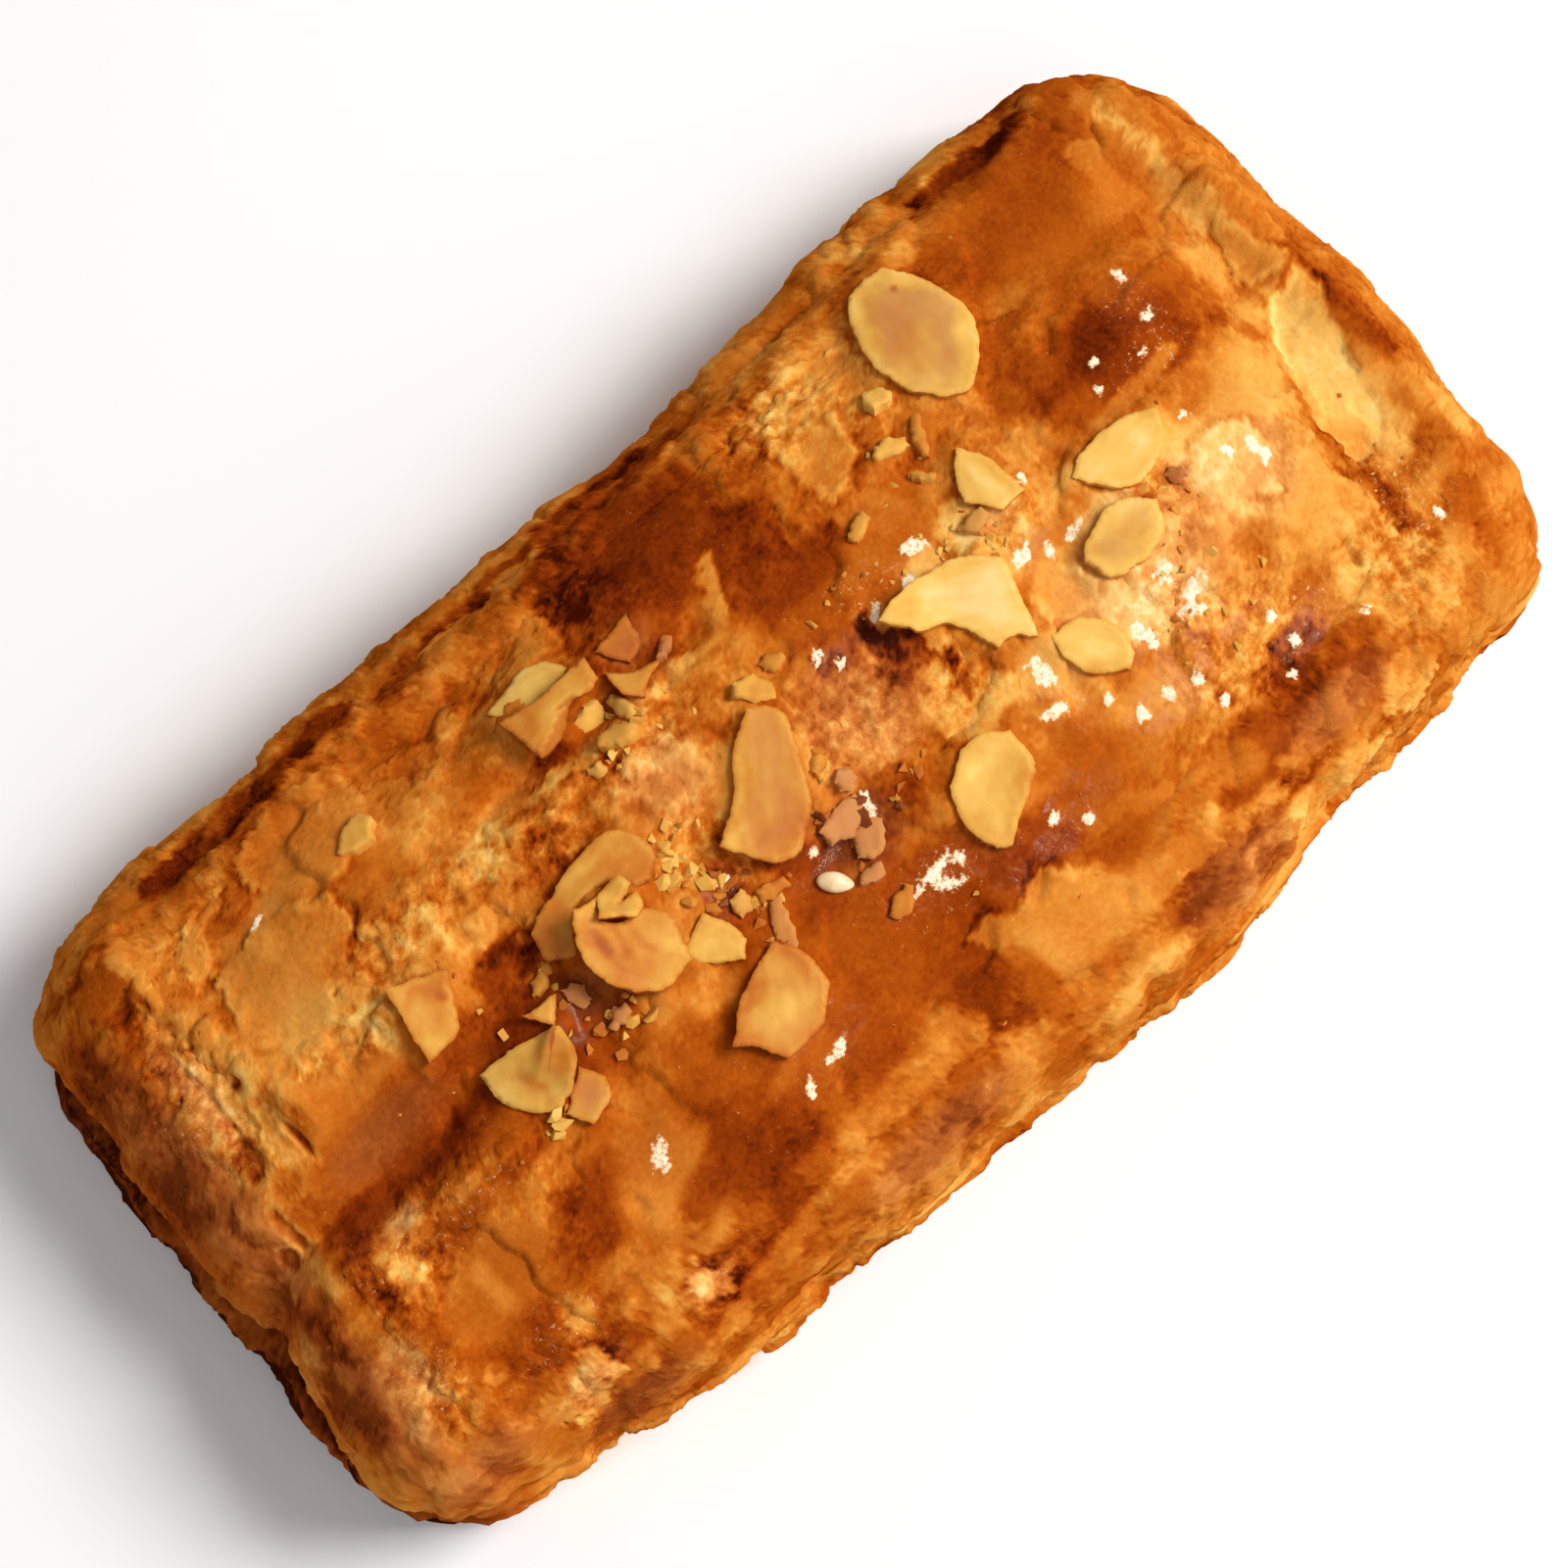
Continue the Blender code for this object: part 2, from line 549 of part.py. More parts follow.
def main():
    for old in list(bpy.data.objects):
        bpy.data.objects.remove(old)
    pastry = bpy.data.collections.new("apple_puff_pastry")
    chips = bpy.data.collections.new("chips")
    for collection in (pastry, chips):
        bpy.context.scene.collection.children.link(collection)
    crust_material = plain_material("glazed_crust", (0.56, 0.22, 0.04), 0.35)
    almond_material = plain_material("almond", (0.78, 0.52, 0.22), 0.45)

    shell = pastry_shell()
    crust = BVHTree.FromBMesh(shell)
    node = new_object("pastry", shell, crust_material, pastry)
    draw = np.random.RandomState(CHIP_SEED)
    for name, placing in CHIPS.items():
        new_object("chip_" + name, chip_plate(*placing, crust, draw), crust_material, chips)
    new_object("sesame_seed", sesame_seed(crust), crust_material, chips)
    fuse(node, chips)

    topped = bmesh.new()
    topped.from_mesh(node.data)
    bmesh.ops.scale(topped, vec=(1 / MM, 1 / MM, 1 / MM), verts=topped.verts)
    bmesh.ops.translate(topped, vec=-Vector(CENTRE_SHIFT), verts=topped.verts)
    supports = [BVHTree.FromBMesh(topped)]
    topped.free()
    for name in SLICES:
        piece = almond_slice(name, supports)
        supports.append(BVHTree.FromBMesh(piece))
        new_object(name, piece, almond_material, pastry)
    for piece in pastry.objects:
        piece.data.shade_smooth()


if __name__ == "__main__":
    main()
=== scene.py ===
"""The looks of the apple puff pastry: a finely modelled crust over the CAD pillow, its almonds,
chips and crumbs, and a plain studio.

Sizes are in millimetres, and to_object() turns each finished mesh into metres. The tables of
places measure from the middle of the unbent pillow, as the part's source does.
"""

import itertools
import math

import bmesh
import bpy
import numpy as np
from mathutils import Matrix, Vector
from mathutils.bvhtree import BVHTree
from mathutils.geometry import delaunay_2d_cdt


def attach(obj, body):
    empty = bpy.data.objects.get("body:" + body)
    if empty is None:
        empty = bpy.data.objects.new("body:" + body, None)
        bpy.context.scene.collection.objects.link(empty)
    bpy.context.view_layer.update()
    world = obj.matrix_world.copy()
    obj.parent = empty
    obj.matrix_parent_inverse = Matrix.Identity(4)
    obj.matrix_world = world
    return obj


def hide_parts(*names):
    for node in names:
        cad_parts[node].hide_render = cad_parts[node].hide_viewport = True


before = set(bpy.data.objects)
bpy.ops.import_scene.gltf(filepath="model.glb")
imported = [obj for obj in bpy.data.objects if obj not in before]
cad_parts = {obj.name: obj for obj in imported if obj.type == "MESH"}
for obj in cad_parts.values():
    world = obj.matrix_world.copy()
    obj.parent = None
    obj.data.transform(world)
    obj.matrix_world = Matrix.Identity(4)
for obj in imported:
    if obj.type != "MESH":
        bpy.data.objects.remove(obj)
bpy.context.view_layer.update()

MM = 0.001
ABOVE_ALL = 60.0  # higher than anything here
CENTRE_SHIFT = np.array([0.12, 2.62, 0.0])  # from the middle of the unbent pillow to the origin

# The photo's camera
PHOTO_AZIMUTH = -43.0
PHOTO_ELEVATION = 78.0
CAMERA_DISTANCE = 320.0
CAMERA_TARGET = (-1.35, 1.15, 14.0)
PHOTO_PIXELS = 1600
PIXELS_PER_MM = 12.0
FRAME_WIDTH = PHOTO_PIXELS / PIXELS_PER_MM  # the picture's width at the target
SENSOR_WIDTH = 36.0

# Lamps: heading from the camera's and height in degrees, distance and size in metres, watts, colour
LAMPS = {
    "key": (105, 51, 1.2, 0.5, 14.8, (1, 0.96, 0.9)),
    "glint": (105, 58, 1.2, 0.16, 11, (1, 0.87, 0.66)),
    "fill": (20, 50, 1.4, 1.2, 4, (1, 0.97, 0.93)),
}
SKY_COLOUR = (1.0, 0.95, 0.88, 1.0)
SKY_STRENGTH = 0.26
FLOOR_SIZE = 12.0  # in metres, as the next
FLOOR_DROP = 0.0002  # the floor lies this far under the pastry
FLOOR_COLOUR = (246, 249, 255)

# The pillow, as in the part's source
LENGTH = 128.6
WIDTH = 62.2
CORNER_RADIUS = 11.5
HEIGHT_AT_EDGE = 23.0
DOME_RISE = 7.0
EDGE_ROUND = 9.0  # how far in from the side the top starts to turn down
EDGE_DROP = 12.0  # how far the turn takes it down
FOOT_RADIUS = 2.5
SIDE_BULGE = 0.7
FRONT_BOW = 4.0  # the front side swells out in its middle by this much
FRONT_BOW_AT_X = 8.0
BACK_WAIST = 1.0  # the back side draws in by this much in its middle
FAR_END_BOW = 1.2
NEAR_END_SKEW = 0.06  # the -X end isn't quite square to the sides
TURN_RINGS, WALL_RINGS, FOOT_RINGS = 4, 6, 2
CROWDING = 0.66  # columns and rows stand closer together towards the corners
NOISE_SEED = 11
NOISE_GAIN = 1.7  # brings the noise to about -1 to 1
OCTAVE_SHIFT = 17.0

# The open fold under the -X end
FOLD_HEIGHT = 7.6
FOLD_HALF_GAP = 3.4
FOLD_DEPTH = 5.0
FOLD_FROM_Y, FOLD_TO_Y = -19.0, 26.0
FOLD_LIP = 2.4  # the bottom sheet stands out past the roll above it

# Where the plan's outline swells or draws in: x, y, reach, shift along x, shift along y
PLAN_SHIFTS = {
    "far_front_corner": (62, -31, 7, 1.3, -1),
    "far_end_hollow": (64, -21, 8, -2.3, 0),
    "back_waist": (9, 31, 9, 0, -1.6),
    "back_swell": (31, 31, 8, 0, 1),
    "near_front_corner": (-63, -24, 7, -1, 0),
    "near_end_hollow": (-66, -10, 7, 1.1, 0),
    "near_back_hollow": (-52, 30, 9, 0, -0.5),
    "front_hollow": (-51, -32, 7, 0, 1.2),
    "front_swell": (15, -34, 9, 0, -1.1),
    "front_hollow_far": (39, -33, 7, 0, 0.7),
}

# Swellings and hollows of the top: x, y, reach along x, reach along y, height
SWELLINGS = {
    "left_back_lobe": (-42, 12, 15, 11, 1.5),
    "left_front_lobe": (-43, -17, 15, 10, 1.4),
    "crumpled_middle": (-10, 3, 12, 8, 1.2),
    "smooth_back_dome": (1, 18, 11, 8, 1.3),
    "pale_right": (38, -9, 12, 8, 1.3),
    "dark_right": (41, 7, 9, 5, 1),
    "golden_front": (8, -26, 10, 5, 1),
    "front_left": (-21, -21, 9, 7, 0.9),
    "hollow_by_curls": (-29, 1, 4, 3, -1.2),
    "hollow_by_slice": (10, 0, 3, 3, -1.1),
    "hollow_front": (-3, -11, 6, 3, -0.8),
    "hollow_back": (-18, 19, 5, 4, -0.8),
    "hollow_right": (24, 9, 5, 5, -0.8),
}

# Folds of the dough: from x, y, to x, y, half width, height
FOLDS = {
    "crease_between_lobes": (-66, -5, -37, -5.5, 2.6, -2.4),
    "ridge_over_end_back": (-52.5, 23, -49.5, 3, 2, 1.2),
    "ridge_over_end_front": (-54, -9, -55, -25, 2.2, 0.8),
    "trough_at_far_end": (55, 14, 53, -15, 3.2, -1.6),
    "rim_at_far_end": (59, 21, 60, -24, 1.8, 1),
    "seam_of_middle": (-24, 10, 0, 11.5, 1.6, -0.9),
    "front_seam": (-34, -29, 2, -31, 1.6, -0.8),
    "back_seam": (-48, 26.5, 51, 26.5, 1.4, -0.9),
}

# Blisters that burst in the ends: x, y, height of the middle, radius, depth
BURST_BLISTERS = {
    "end_large": (-57, 3.8, 21, 2.2, 1.4),
    "end_upper": (-51.8, 8.7, 23.5, 1.4, 1.2),
    "end_slit": (-58.5, -1.5, 20, 1.6, 1.1),
    "far_corner": (58.5, 24, 20, 1.8, 1.2),
    "far_front": (61, -9, 18.5, 2, 1.1),
}

# Relief that noise shapes, coarse as on the solid, then finer
FOLD_WANDER = 1.2
LUMP_HEIGHT = 0.75
COARSE_FLAKE_HEIGHT = 0.45
SIDE_SHEET_HEIGHT = 0.9
FLAKE_HEIGHT = 0.16
FLAKE_LEVELS = (-0.35, 0.0, 0.3)  # where in the noise the edges of the small flakes run
CRUMBLE_HEIGHT = 0.20
WRINKLE_HEIGHT = 0.16
GRAIN_HEIGHT = 0.05
SIDE_LAYER_HEIGHT = 0.35
# how far the painted highlights stand up
HIGHLIGHT_RELIEF_HEIGHT = 0.12

# The fine mesh
COLUMNS, ROWS = 366, 146
TURN_STEPS, WALL_STEPS, FOOT_STEPS = 38, 40, 8

# Torn sheets of dough: brightness, how far they stand up, and their outline
SHEETS = {
    "amber_panel": (0.5, 0.25, [
        (-40.8, 23), (-36, 24.5), (-29, 23.5), (-29, 18.5), (-31, 16), (-35, 15), (-38, 16.8),
        (-40.5, 17.8),
    ]),
    "yellow_lobe": (0.6, 0.3, [
        (-48, 16.5), (-42, 17.2), (-36.5, 14.5), (-37, 11), (-39.5, 9.5), (-38.5, 5.6), (-43, 6.3),
        (-47, 5.5), (-48.5, 8), (-49.3, 12),
    ]),
    "lobe_wedge": (0.5, 0.2, [
        (-49.5, 20.4), (-46.3, 21.8), (-42, 22.2), (-45.5, 20), (-47.5, 17), (-49.8, 16.5),
    ]),
    "torn_back": (0.4, 0.3, [
        (-18.6, 21.2), (-17, 22), (-15.6, 21.8), (-15.2, 20), (-14.6, 18.2), (-12, 17.2), (-8.4, 17.5),
        (-8.6, 25), (-12, 26), (-20, 25.5), (-19.5, 23),
    ]),
    "gold_back_right": (0.66, 0.25, [
        (15.2, 15.5), (14.8, 17.5), (15.6, 19.3), (16.6, 20), (17, 22.5), (20, 23), (26, 21), (26, 17),
        (21.5, 17), (20, 13), (18, 11), (15.5, 10.5), (14.6, 13.4),
    ]),
    "golden_front": (0.6, 0.2, [
        (-0.8, -23.5), (1, -22.8), (2.8, -24.3), (5, -23.3), (7, -22.7), (8.5, -24), (10.8, -26),
        (11.5, -28.2), (16, -28.6), (21, -28.2), (20, -30.5), (12, -31.4), (5.5, -31), (2.6, -29.5),
        (2.4, -27), (0, -25.5),
    ]),
    "exposed_strip": (0.92, -0.45, [
        (51.5, -16), (50.8, -11), (52.3, -6.5), (53.3, -3.5), (56, -0.5), (59.5, 0), (60, -2), (58.5, -5),
        (57, -9), (55.8, -13), (54.5, -16),
    ]),
    "strip_triangle": (0.6, 0.35, [(55.2, 1.5), (56.5, 7), (57.5, 8.5), (59.8, 2), (58, 0.8)]),
    "clear_sheet": (0.66, 0.3, [
        (-14, 3.5), (-12.6, 5.6), (-10, 5.6), (-8.4, 5.2), (-7.3, 3.6), (-6.9, 1), (-8.3, -0.4),
        (-10.5, 0.3), (-12.8, 1.2),
    ]),
    "cream_right": (0.8, 0.2, [
        (40, -6.2), (43.5, -5.7), (45.8, -7.2), (45.3, -11), (43.5, -13.2), (40.5, -12), (38.6, -10.5),
        (37.2, -8.8),
    ]),
    "tan_sheet": (0.8, 0.2, [
        (21.6, -5.8), (24.5, -5.3), (26.5, -6.6), (26.4, -9.6), (23.5, -9.8), (21.2, -8.5),
    ]),
    "front_pale_left": (0.72, 0.15, [
        (-48.6, -28), (-46.8, -25.7), (-45.2, -26.8), (-44.6, -28.8), (-47, -29.3), (-49, -30.1),
        (-50.4, -29.6),
    ]),
    "front_pale_middle": (0.8, 0.15, [
        (-37, -28), (-35, -27), (-33.2, -28.6), (-33.8, -30.2), (-36, -29.6),
    ]),
    "front_yellow_right": (0.68, 0.2, [
        (38.5, -31.5), (40, -29.6), (43.8, -29.4), (45, -32), (42, -33), (39.5, -32.6),
    ]),
    "front_pale_right": (0.66, 0.2, [
        (26, -32.5), (34, -31.8), (38.5, -33), (34, -34.2), (27, -34.2),
    ]),
}

# How bright each broad part of the crust is, from 0, dark, to 1: x, y, reach along x and y, brightness
ZONES = [
    # (-61, 8) darkens the -X end, partly browner dough, partly painted shade
    (-61, 8, 4, 22, 0.34), (-54, 14, 4, 14, 0.5), (-42, 12, 10, 10, 0.54), (-27, 14, 9, 10, 0.5),
    (-47, -18, 12, 9, 0.36), (-24, -21, 10, 8, 0.26), (-6, -19, 12, 7, 0.24), (-14, 4, 10, 6, 0.5),
    (3, -3, 8, 5, 0.44), (0, 18, 9, 8, 0.12), (20, 17, 7, 8, 0.58), (12, 6, 7, 4, 0.38),
    (27, -8, 9, 9, 0.64), (40, -9, 9, 7, 0.68), (43, 17, 10, 9, 0.34), (42, 5, 9, 5, 0.18),
    (54, 6, 5, 12, 0.56), (32, -19, 8, 5, 0.56), (47, -22, 6, 7, 0.58), (15, -22, 9, 5, 0.34),
    (34, -28, 8, 3, 0.32), (8, -28, 9, 4, 0.54), (57, -18, 4, 12, 0.46), (-45, -3, 10, 3, 0.3),
    (-22, -12, 10, 4, 0.4), (-10, -12, 8, 4, 0.3), (14, -10, 5, 5, 0.5),
]

# Patches of browner and paler crust, by region, some of them painted shade or painted light as marked: x, y,
# reach along x and y, brightness
PATCHES = {
    "near_end": [
        # The dark ones past x = -60 are partly painted shade of the -X end
        (-55, 21.6, 2.4, 4.2, 0.18), (-57, 14, 2, 3.6, 0.28), (-60.5, 15, 2, 6, 0.22),
        (-57, 9.4, 1.6, 2.2, 0.34), (-53.8, 9, 1.5, 5, 0.52), (-52.5, 3, 1.6, 2.6, 0.66),
        (-55.2, 3.2, 1.4, 1.8, 0.34), (-57.5, -1.5, 1.4, 3, 0.72), (-48.8, 1.5, 2.4, 3, 0.38),
        (-59.5, -11.5, 1.2, 2, 0.26), (-58.6, -14, 0.9, 2.2, 0.42), (-57.6, -18, 2, 3, 0.64),
        (-57.5, -23, 3, 2, 0.44), (-58, -27, 4, 1.6, 0.26), (-54.8, -11, 1.2, 4, 0.22),
        (-58, -6, 2, 2.8, 0.66), (-58, 0, 1.6, 2.5, 0.52), (-60.5, -12, 1.2, 2.4, 0.14),
        (-62.5, -10, 1, 2, 0.5), (-61, 6, 2, 6, 0.26), (-63, -17, 1.5, 4, 0.24), (-59.4, -20, 1.2, 4, 0.6),
        (-60, -25, 2.4, 2, 0.48), (-51.9, 8.4, 0.8, 1.1, 0.44), (-55.4, 3.2, 1.1, 1.8, 0.6),
    ],
    "crease_painted_shade": [
        # Mostly painted shade in the valley between the lobes and by the curled slices; (-29.5, 0) is the
        # curls' painted shadow
        (-46, -2.2, 6, 2.2, 0.25), (-45, -5.5, 8, 1.6, 0.18), (-54, -7, 2.5, 2, 0.2),
        (-34, -1.5, 5, 2.2, 0.22), (-29.5, 0, 4, 2.6, 0.06), (-40, -8, 4, 2.4, 0.16), (-33, -7, 3, 5, 0.14),
        (-30.5, -8, 1.8, 1.8, 0.14),
    ],
    "back_lobe": [
        (-45, 8.3, 3.6, 2.3, 0.7), (-37, 8.6, 2.2, 2, 0.6), (-32.5, 7.2, 2.5, 1.6, 0.68),
        (-30.5, 4.5, 3, 1.6, 0.7), (-42.5, 4.3, 2, 1.2, 0.62), (-40.8, 2.8, 1, 1.6, 0.7),
        (-33.5, 13, 4.4, 2.8, 0.38), (-40.2, 12.6, 2.4, 3.6, 0.34), (-40.4, 21, 1.6, 2.2, 0.22),
        (-43.3, 19.6, 2, 1.6, 0.26), (-48, 27.4, 4.5, 1.6, 0.56), (-38, 26.4, 9, 1.2, 0.12),
        (-27, 12.6, 2.4, 3.2, 0.56), (-28, 16.4, 1.8, 1.6, 0.42), (-26, 8, 2.4, 2, 0.68),
        (-23, 22, 3, 2.4, 0.36), (-19, 25, 4, 1.8, 0.22), (-14.6, 28.4, 3, 2, 0.3),
        (-29, 21, 1.2, 2, 0.58), (-20, 16, 2, 2, 0.34), (-17.6, 19.5, 1.4, 2.6, 0.22),
        (-22.6, 4.4, 3.6, 2.6, 0.24), (-22.6, 15.4, 1.6, 2.2, 0.52), (-22, 10.4, 2.4, 1.2, 0.62),
        (-17.5, 6.6, 2, 1.4, 0.54), (-26, 3.2, 2, 1, 0.48), (-15.8, 9.5, 1.8, 2, 0.16),
    ],
    "front_lobe": [
        (-52.2, -12, 1.2, 1.5, 0.66), (-49.5, -8.8, 1.8, 0.8, 0.58), (-44.6, -10.4, 3, 0.6, 0.56),
        (-47, -12.8, 3, 0.8, 0.26), (-51, -17.4, 3, 3.4, 0.36), (-48, -17, 0.9, 3, 0.52),
        (-52.4, -22.6, 1, 0.7, 0.64), (-41, -15.6, 1.4, 2.2, 0.48), (-38, -19, 5, 3, 0.2),
        (-39, -10.6, 3, 2, 0.2), (-34, -10.6, 3, 1.6, 0.16), (-48, -23, 3, 2.4, 0.22),
        (-44.6, -23.6, 1.1, 1.9, 0.64), (-39.6, -23.2, 2, 1.2, 0.54), (-34, -21, 3, 3, 0.52),
        (-43, -27.6, 2.4, 1.4, 0.26), (-52, -26.8, 3, 2, 0.42), (-46, -31.4, 5.4, 1.2, 0.3),
        (-39, -30.4, 3, 1.2, 0.22), (-35.4, -32, 2, 0.9, 0.58), (-38.3, -27, 0.6, 0.8, 0.66),
        (-30, -24.6, 3.4, 1, 0.5),
    ],
    "front_middle": [
        (-27, -10.6, 3, 3, 0.3), (-24, -14, 3, 2, 0.32), (-19, -12.6, 2, 1.6, 0.6),
        (-25, -23.6, 5, 4.4, 0.12), (-21, -19.4, 2.4, 2.6, 0.4), (-29, -20.6, 2, 1.8, 0.5),
        (-30, -27.6, 6, 0.9, 0.26), (-28, -30.2, 5, 1.4, 0.54), (-15, -24.4, 3, 2.6, 0.3),
        (-18, -24.8, 1.6, 2, 0.24), (-10, -22, 4.6, 4, 0.24), (-3, -19.6, 7, 4.4, 0.26),
        (-2, -27.6, 2.8, 3.4, 0.22), (-7.6, -26.6, 0.7, 1.8, 0.5), (-14, -28, 5.4, 1.3, 0.54),
        (-28, -29.8, 3, 0.9, 0.54), (-20.4, -30, 1.8, 1.4, 0.5), (-13, -32.4, 7, 1.3, 0.26),
        (-6, -31, 1, 1, 0.44), (-2, -34, 4.6, 0.9, 0.46), (8, -34.6, 5.6, 0.7, 0.66),
        (-8, -13.6, 3, 2, 0.22), (-2.6, -11, 3.6, 2.4, 0.16), (2.4, -9.6, 2.6, 3.4, 0.14),
        (-5, -16, 2, 2, 0.24), (8, -21.6, 6, 1.8, 0.2), (15.6, -17.6, 4, 2.2, 0.36),
        (1, -30, 1.4, 3.2, 0.24), (-8, -30.8, 3, 1.6, 0.18), (-22, -31.6, 2.6, 1.4, 0.26),
        (-31, -18, 3, 3, 0.44), (-12.4, -19.6, 2, 1.8, 0.32),
    ],
    "middle": [
        (-15, 2, 1.8, 3, 0.5), (-13.5, -1.6, 1.4, 1.4, 0.64), (-13, -7, 2.4, 2, 0.2),
        (-10.5, -1.6, 1.8, 1, 0.34), (-5.4, 4, 1.6, 2.2, 0.3), (-6.4, 1.2, 1.2, 1.2, 0.56),
        (-3, 8.7, 4, 0.5, 0.68), (-4, 6, 2.5, 1.6, 0.34), (1.6, 11.8, 1.2, 2.8, 0.52),
        (3.4, -0.6, 3.6, 2.8, 0.48), (5, -5, 4, 3.4, 0.56), (7.6, -1.6, 2, 2, 0.46),
        # (10, -0.4), at brightness 0, is a painted shadow under the star slice's raised tip
        (11, -8.6, 3, 2.6, 0.64), (9.6, -3.4, 1.6, 1.4, 0.22), (10, -0.4, 0.9, 1.8, 0),
        (8, 3.4, 3, 2, 0.28), (13, 3.2, 2.6, 1.6, 0.32), (17.6, 1.8, 2.2, 1.2, 0.84),
        (18, -12.5, 1.6, 3, 0.6), (19.6, 9.5, 2.6, 3.4, 0.32), (15.5, 10.6, 2.4, 2.4, 0.58),
        (22, 14.5, 1.6, 3, 0.26), (-7, -8.6, 2.4, 1, 0.22), (1, 1, 1.6, 1.4, 0.5),
        (6.6, 1, 2.6, 1.6, 0.22), (13.4, 1.8, 1.8, 1.4, 0.26), (11.6, -8.6, 2.6, 3.4, 0.72),
        (14.4, -10.6, 1.6, 2.6, 0.74), (14.4, -14.4, 1.6, 1.8, 0.6), (22, 2, 3, 1.8, 0.86),
        (18.4, 7.6, 1.4, 2.2, 0.52), (22.8, -7.4, 2, 1.6, 0.8),
    ],
    "back_dome": [
        (0.5, 19.8, 8.8, 5.6, 0.1), (7, 12.4, 5, 4.4, 0.1), (8.5, 8.4, 5.4, 3, 0.12),
        (0, 14.6, 4.5, 1.6, 0.16), (-2.6, 12, 2, 2, 0.22), (-12, 21, 3, 3, 0.46), (-10, 25.2, 3, 1, 0.52),
        (10.6, 22, 1.2, 2, 0.4), (13.2, 23.2, 2.4, 1.2, 0.34), (20, 18.6, 5, 4.2, 0.72),
        (25.4, 20.6, 1.6, 3, 0.7), (12.8, 18.6, 2, 4, 0.34), (24, 25, 3, 1.4, 0.52),
        (25, 28, 3, 2, 0.56), (-7, 29, 4, 2, 0.44), (14, 26, 3, 1, 0.4), (19, 26.4, 2.4, 1, 0.34),
        (24, 10, 2.6, 3.4, 0.3), (8.6, 25.6, 3, 1.2, 0.22),
    ],
    "far_middle": [
        (42, 5.6, 8.6, 5, 0.17), (40.4, 5.4, 5, 2.6, 0.09), (44, 2.6, 5.6, 1.8, 0.2),
        (36, 2.8, 2.6, 1.6, 0.24), (46.5, 9, 2.6, 2.6, 0.36), (36, 8.4, 3, 2.6, 0.28),
        (44, 14.5, 7.4, 3, 0.4), (47, 20.4, 7, 3.6, 0.28), (53, 22.6, 3.4, 2.8, 0.22),
        (38.5, 19, 3, 3.4, 0.28), (47, 26.2, 6, 1, 0.06), (38, 26.6, 3, 0.9, 0.5),
        (35.4, 23.6, 1.6, 1, 0.62), (32.8, 28, 2, 2.4, 0.66), (53.4, 10, 1.6, 4.6, 0.62),
        (57, 11, 1.4, 3, 0.66), (51, 4, 2, 3.6, 0.3), (52, -2.6, 0.9, 3, 0.28),
        (48.6, -2.6, 2.6, 2.6, 0.62), (31, 7.6, 2.4, 2, 0.4), (30.6, 3.2, 2.2, 2, 0.54),
        (42.5, 27.4, 0.7, 0.8, 0.74), (37.4, 13.4, 1.6, 1.8, 0.34), (55, 17, 1.4, 3.4, 0.38),
        (43.6, -2.2, 2.6, 1.8, 0.42), (57.2, 10, 1.6, 2.6, 0.76), (58, 27, 4, 3, 0.2),
        (62.4, 22, 1.4, 2, 0.3), (52.6, 29.6, 2.4, 1.6, 0.24), (34.8, 18, 1.4, 3, 0.24),
        (38.6, 13.6, 1.8, 1.8, 0.52), (50, 8, 2, 2.4, 0.42), (40.6, 10.2, 2.4, 1.2, 0.36),
    ],
    "far_front": [
        (20, -22.4, 6, 2, 0.4), (13.6, -25.6, 3.4, 2, 0.22), (25, -25.4, 6, 1.4, 0.26),
        (33.6, -22.8, 5.4, 1.8, 0.2), (31, -26.8, 8, 1.1, 0.16), (41, -26, 3, 1.2, 0.3),
        (35, -29, 5, 1.8, 0.34), (26.2, -27.8, 5, 2.4, 0.08), (20, -33, 5, 1.9, 0.24),
        (25.6, -32.6, 2, 1.4, 0.36), (30, -33.2, 8, 0.9, 0.64), (47, -31, 1.2, 0.9, 0.34),
        (46, -28, 3.4, 2, 0.56), (45, -24, 2, 2.4, 0.6), (32.5, -19.5, 5, 2.6, 0.56),
        (28, -17, 2.4, 1.4, 0.56), (29, -13, 4.4, 3.4, 0.74), (38.5, -14, 2.6, 2, 0.52),
        (36.4, -8.4, 2, 2.4, 0.66), (27.6, -5.6, 3, 1.6, 0.66), (25, -8.4, 2.8, 2.4, 0.8),
        # (31, -4.8) is painted light, paler to take out the leaf slice's shadow beside it
        (31, -4.8, 3, 1.2, 0.86), (45.5, -16, 4.4, 3.6, 0.6), (48, -9, 1.4, 4, 0.62),
        (50.4, -19.6, 1, 3.6, 0.24), (47.6, -20, 1, 3, 0.48), (53.6, -19, 1.2, 2.6, 0.5),
        (50.2, -13, 0.6, 3.6, 0.44), (59.6, -6, 0.9, 4.6, 0.26), (57.4, -17.5, 1.6, 4, 0.34),
        (60.2, -18, 0.8, 3, 0.66), (54, -24, 2.2, 2, 0.32), (51.8, -29.6, 2.4, 1, 0.46),
        (57, -30, 2.4, 0.8, 0.56), (36.5, -19.8, 1.4, 1.1, 0.6), (24, -18, 4, 1.8, 0.68),
        (40.4, -20.6, 2.4, 2, 0.48), (54, -16.6, 1.6, 2.4, 0.78), (55, -9, 2.6, 7, 0.88),
        (55, -24, 2.4, 2.4, 0.22), (35, -12.8, 1.6, 3, 0.42), (49, -28, 2, 1.8, 0.62),
        (31, -12.6, 3, 2.4, 0.76), (41.5, -9.5, 3.6, 3.4, 0.84), (23.6, -7.6, 2.6, 2.2, 0.76),
        (25.4, -5.8, 2.4, 1.2, 0.8), (49, -5.4, 3, 3.4, 0.74), (45.6, -4.6, 2, 1.4, 0.66),
        (35, -7.6, 2, 2.4, 0.7), (37, -6.4, 1, 0.8, 0.48), (34.6, -6.8, 0.8, 0.6, 0.42),
    ],
}

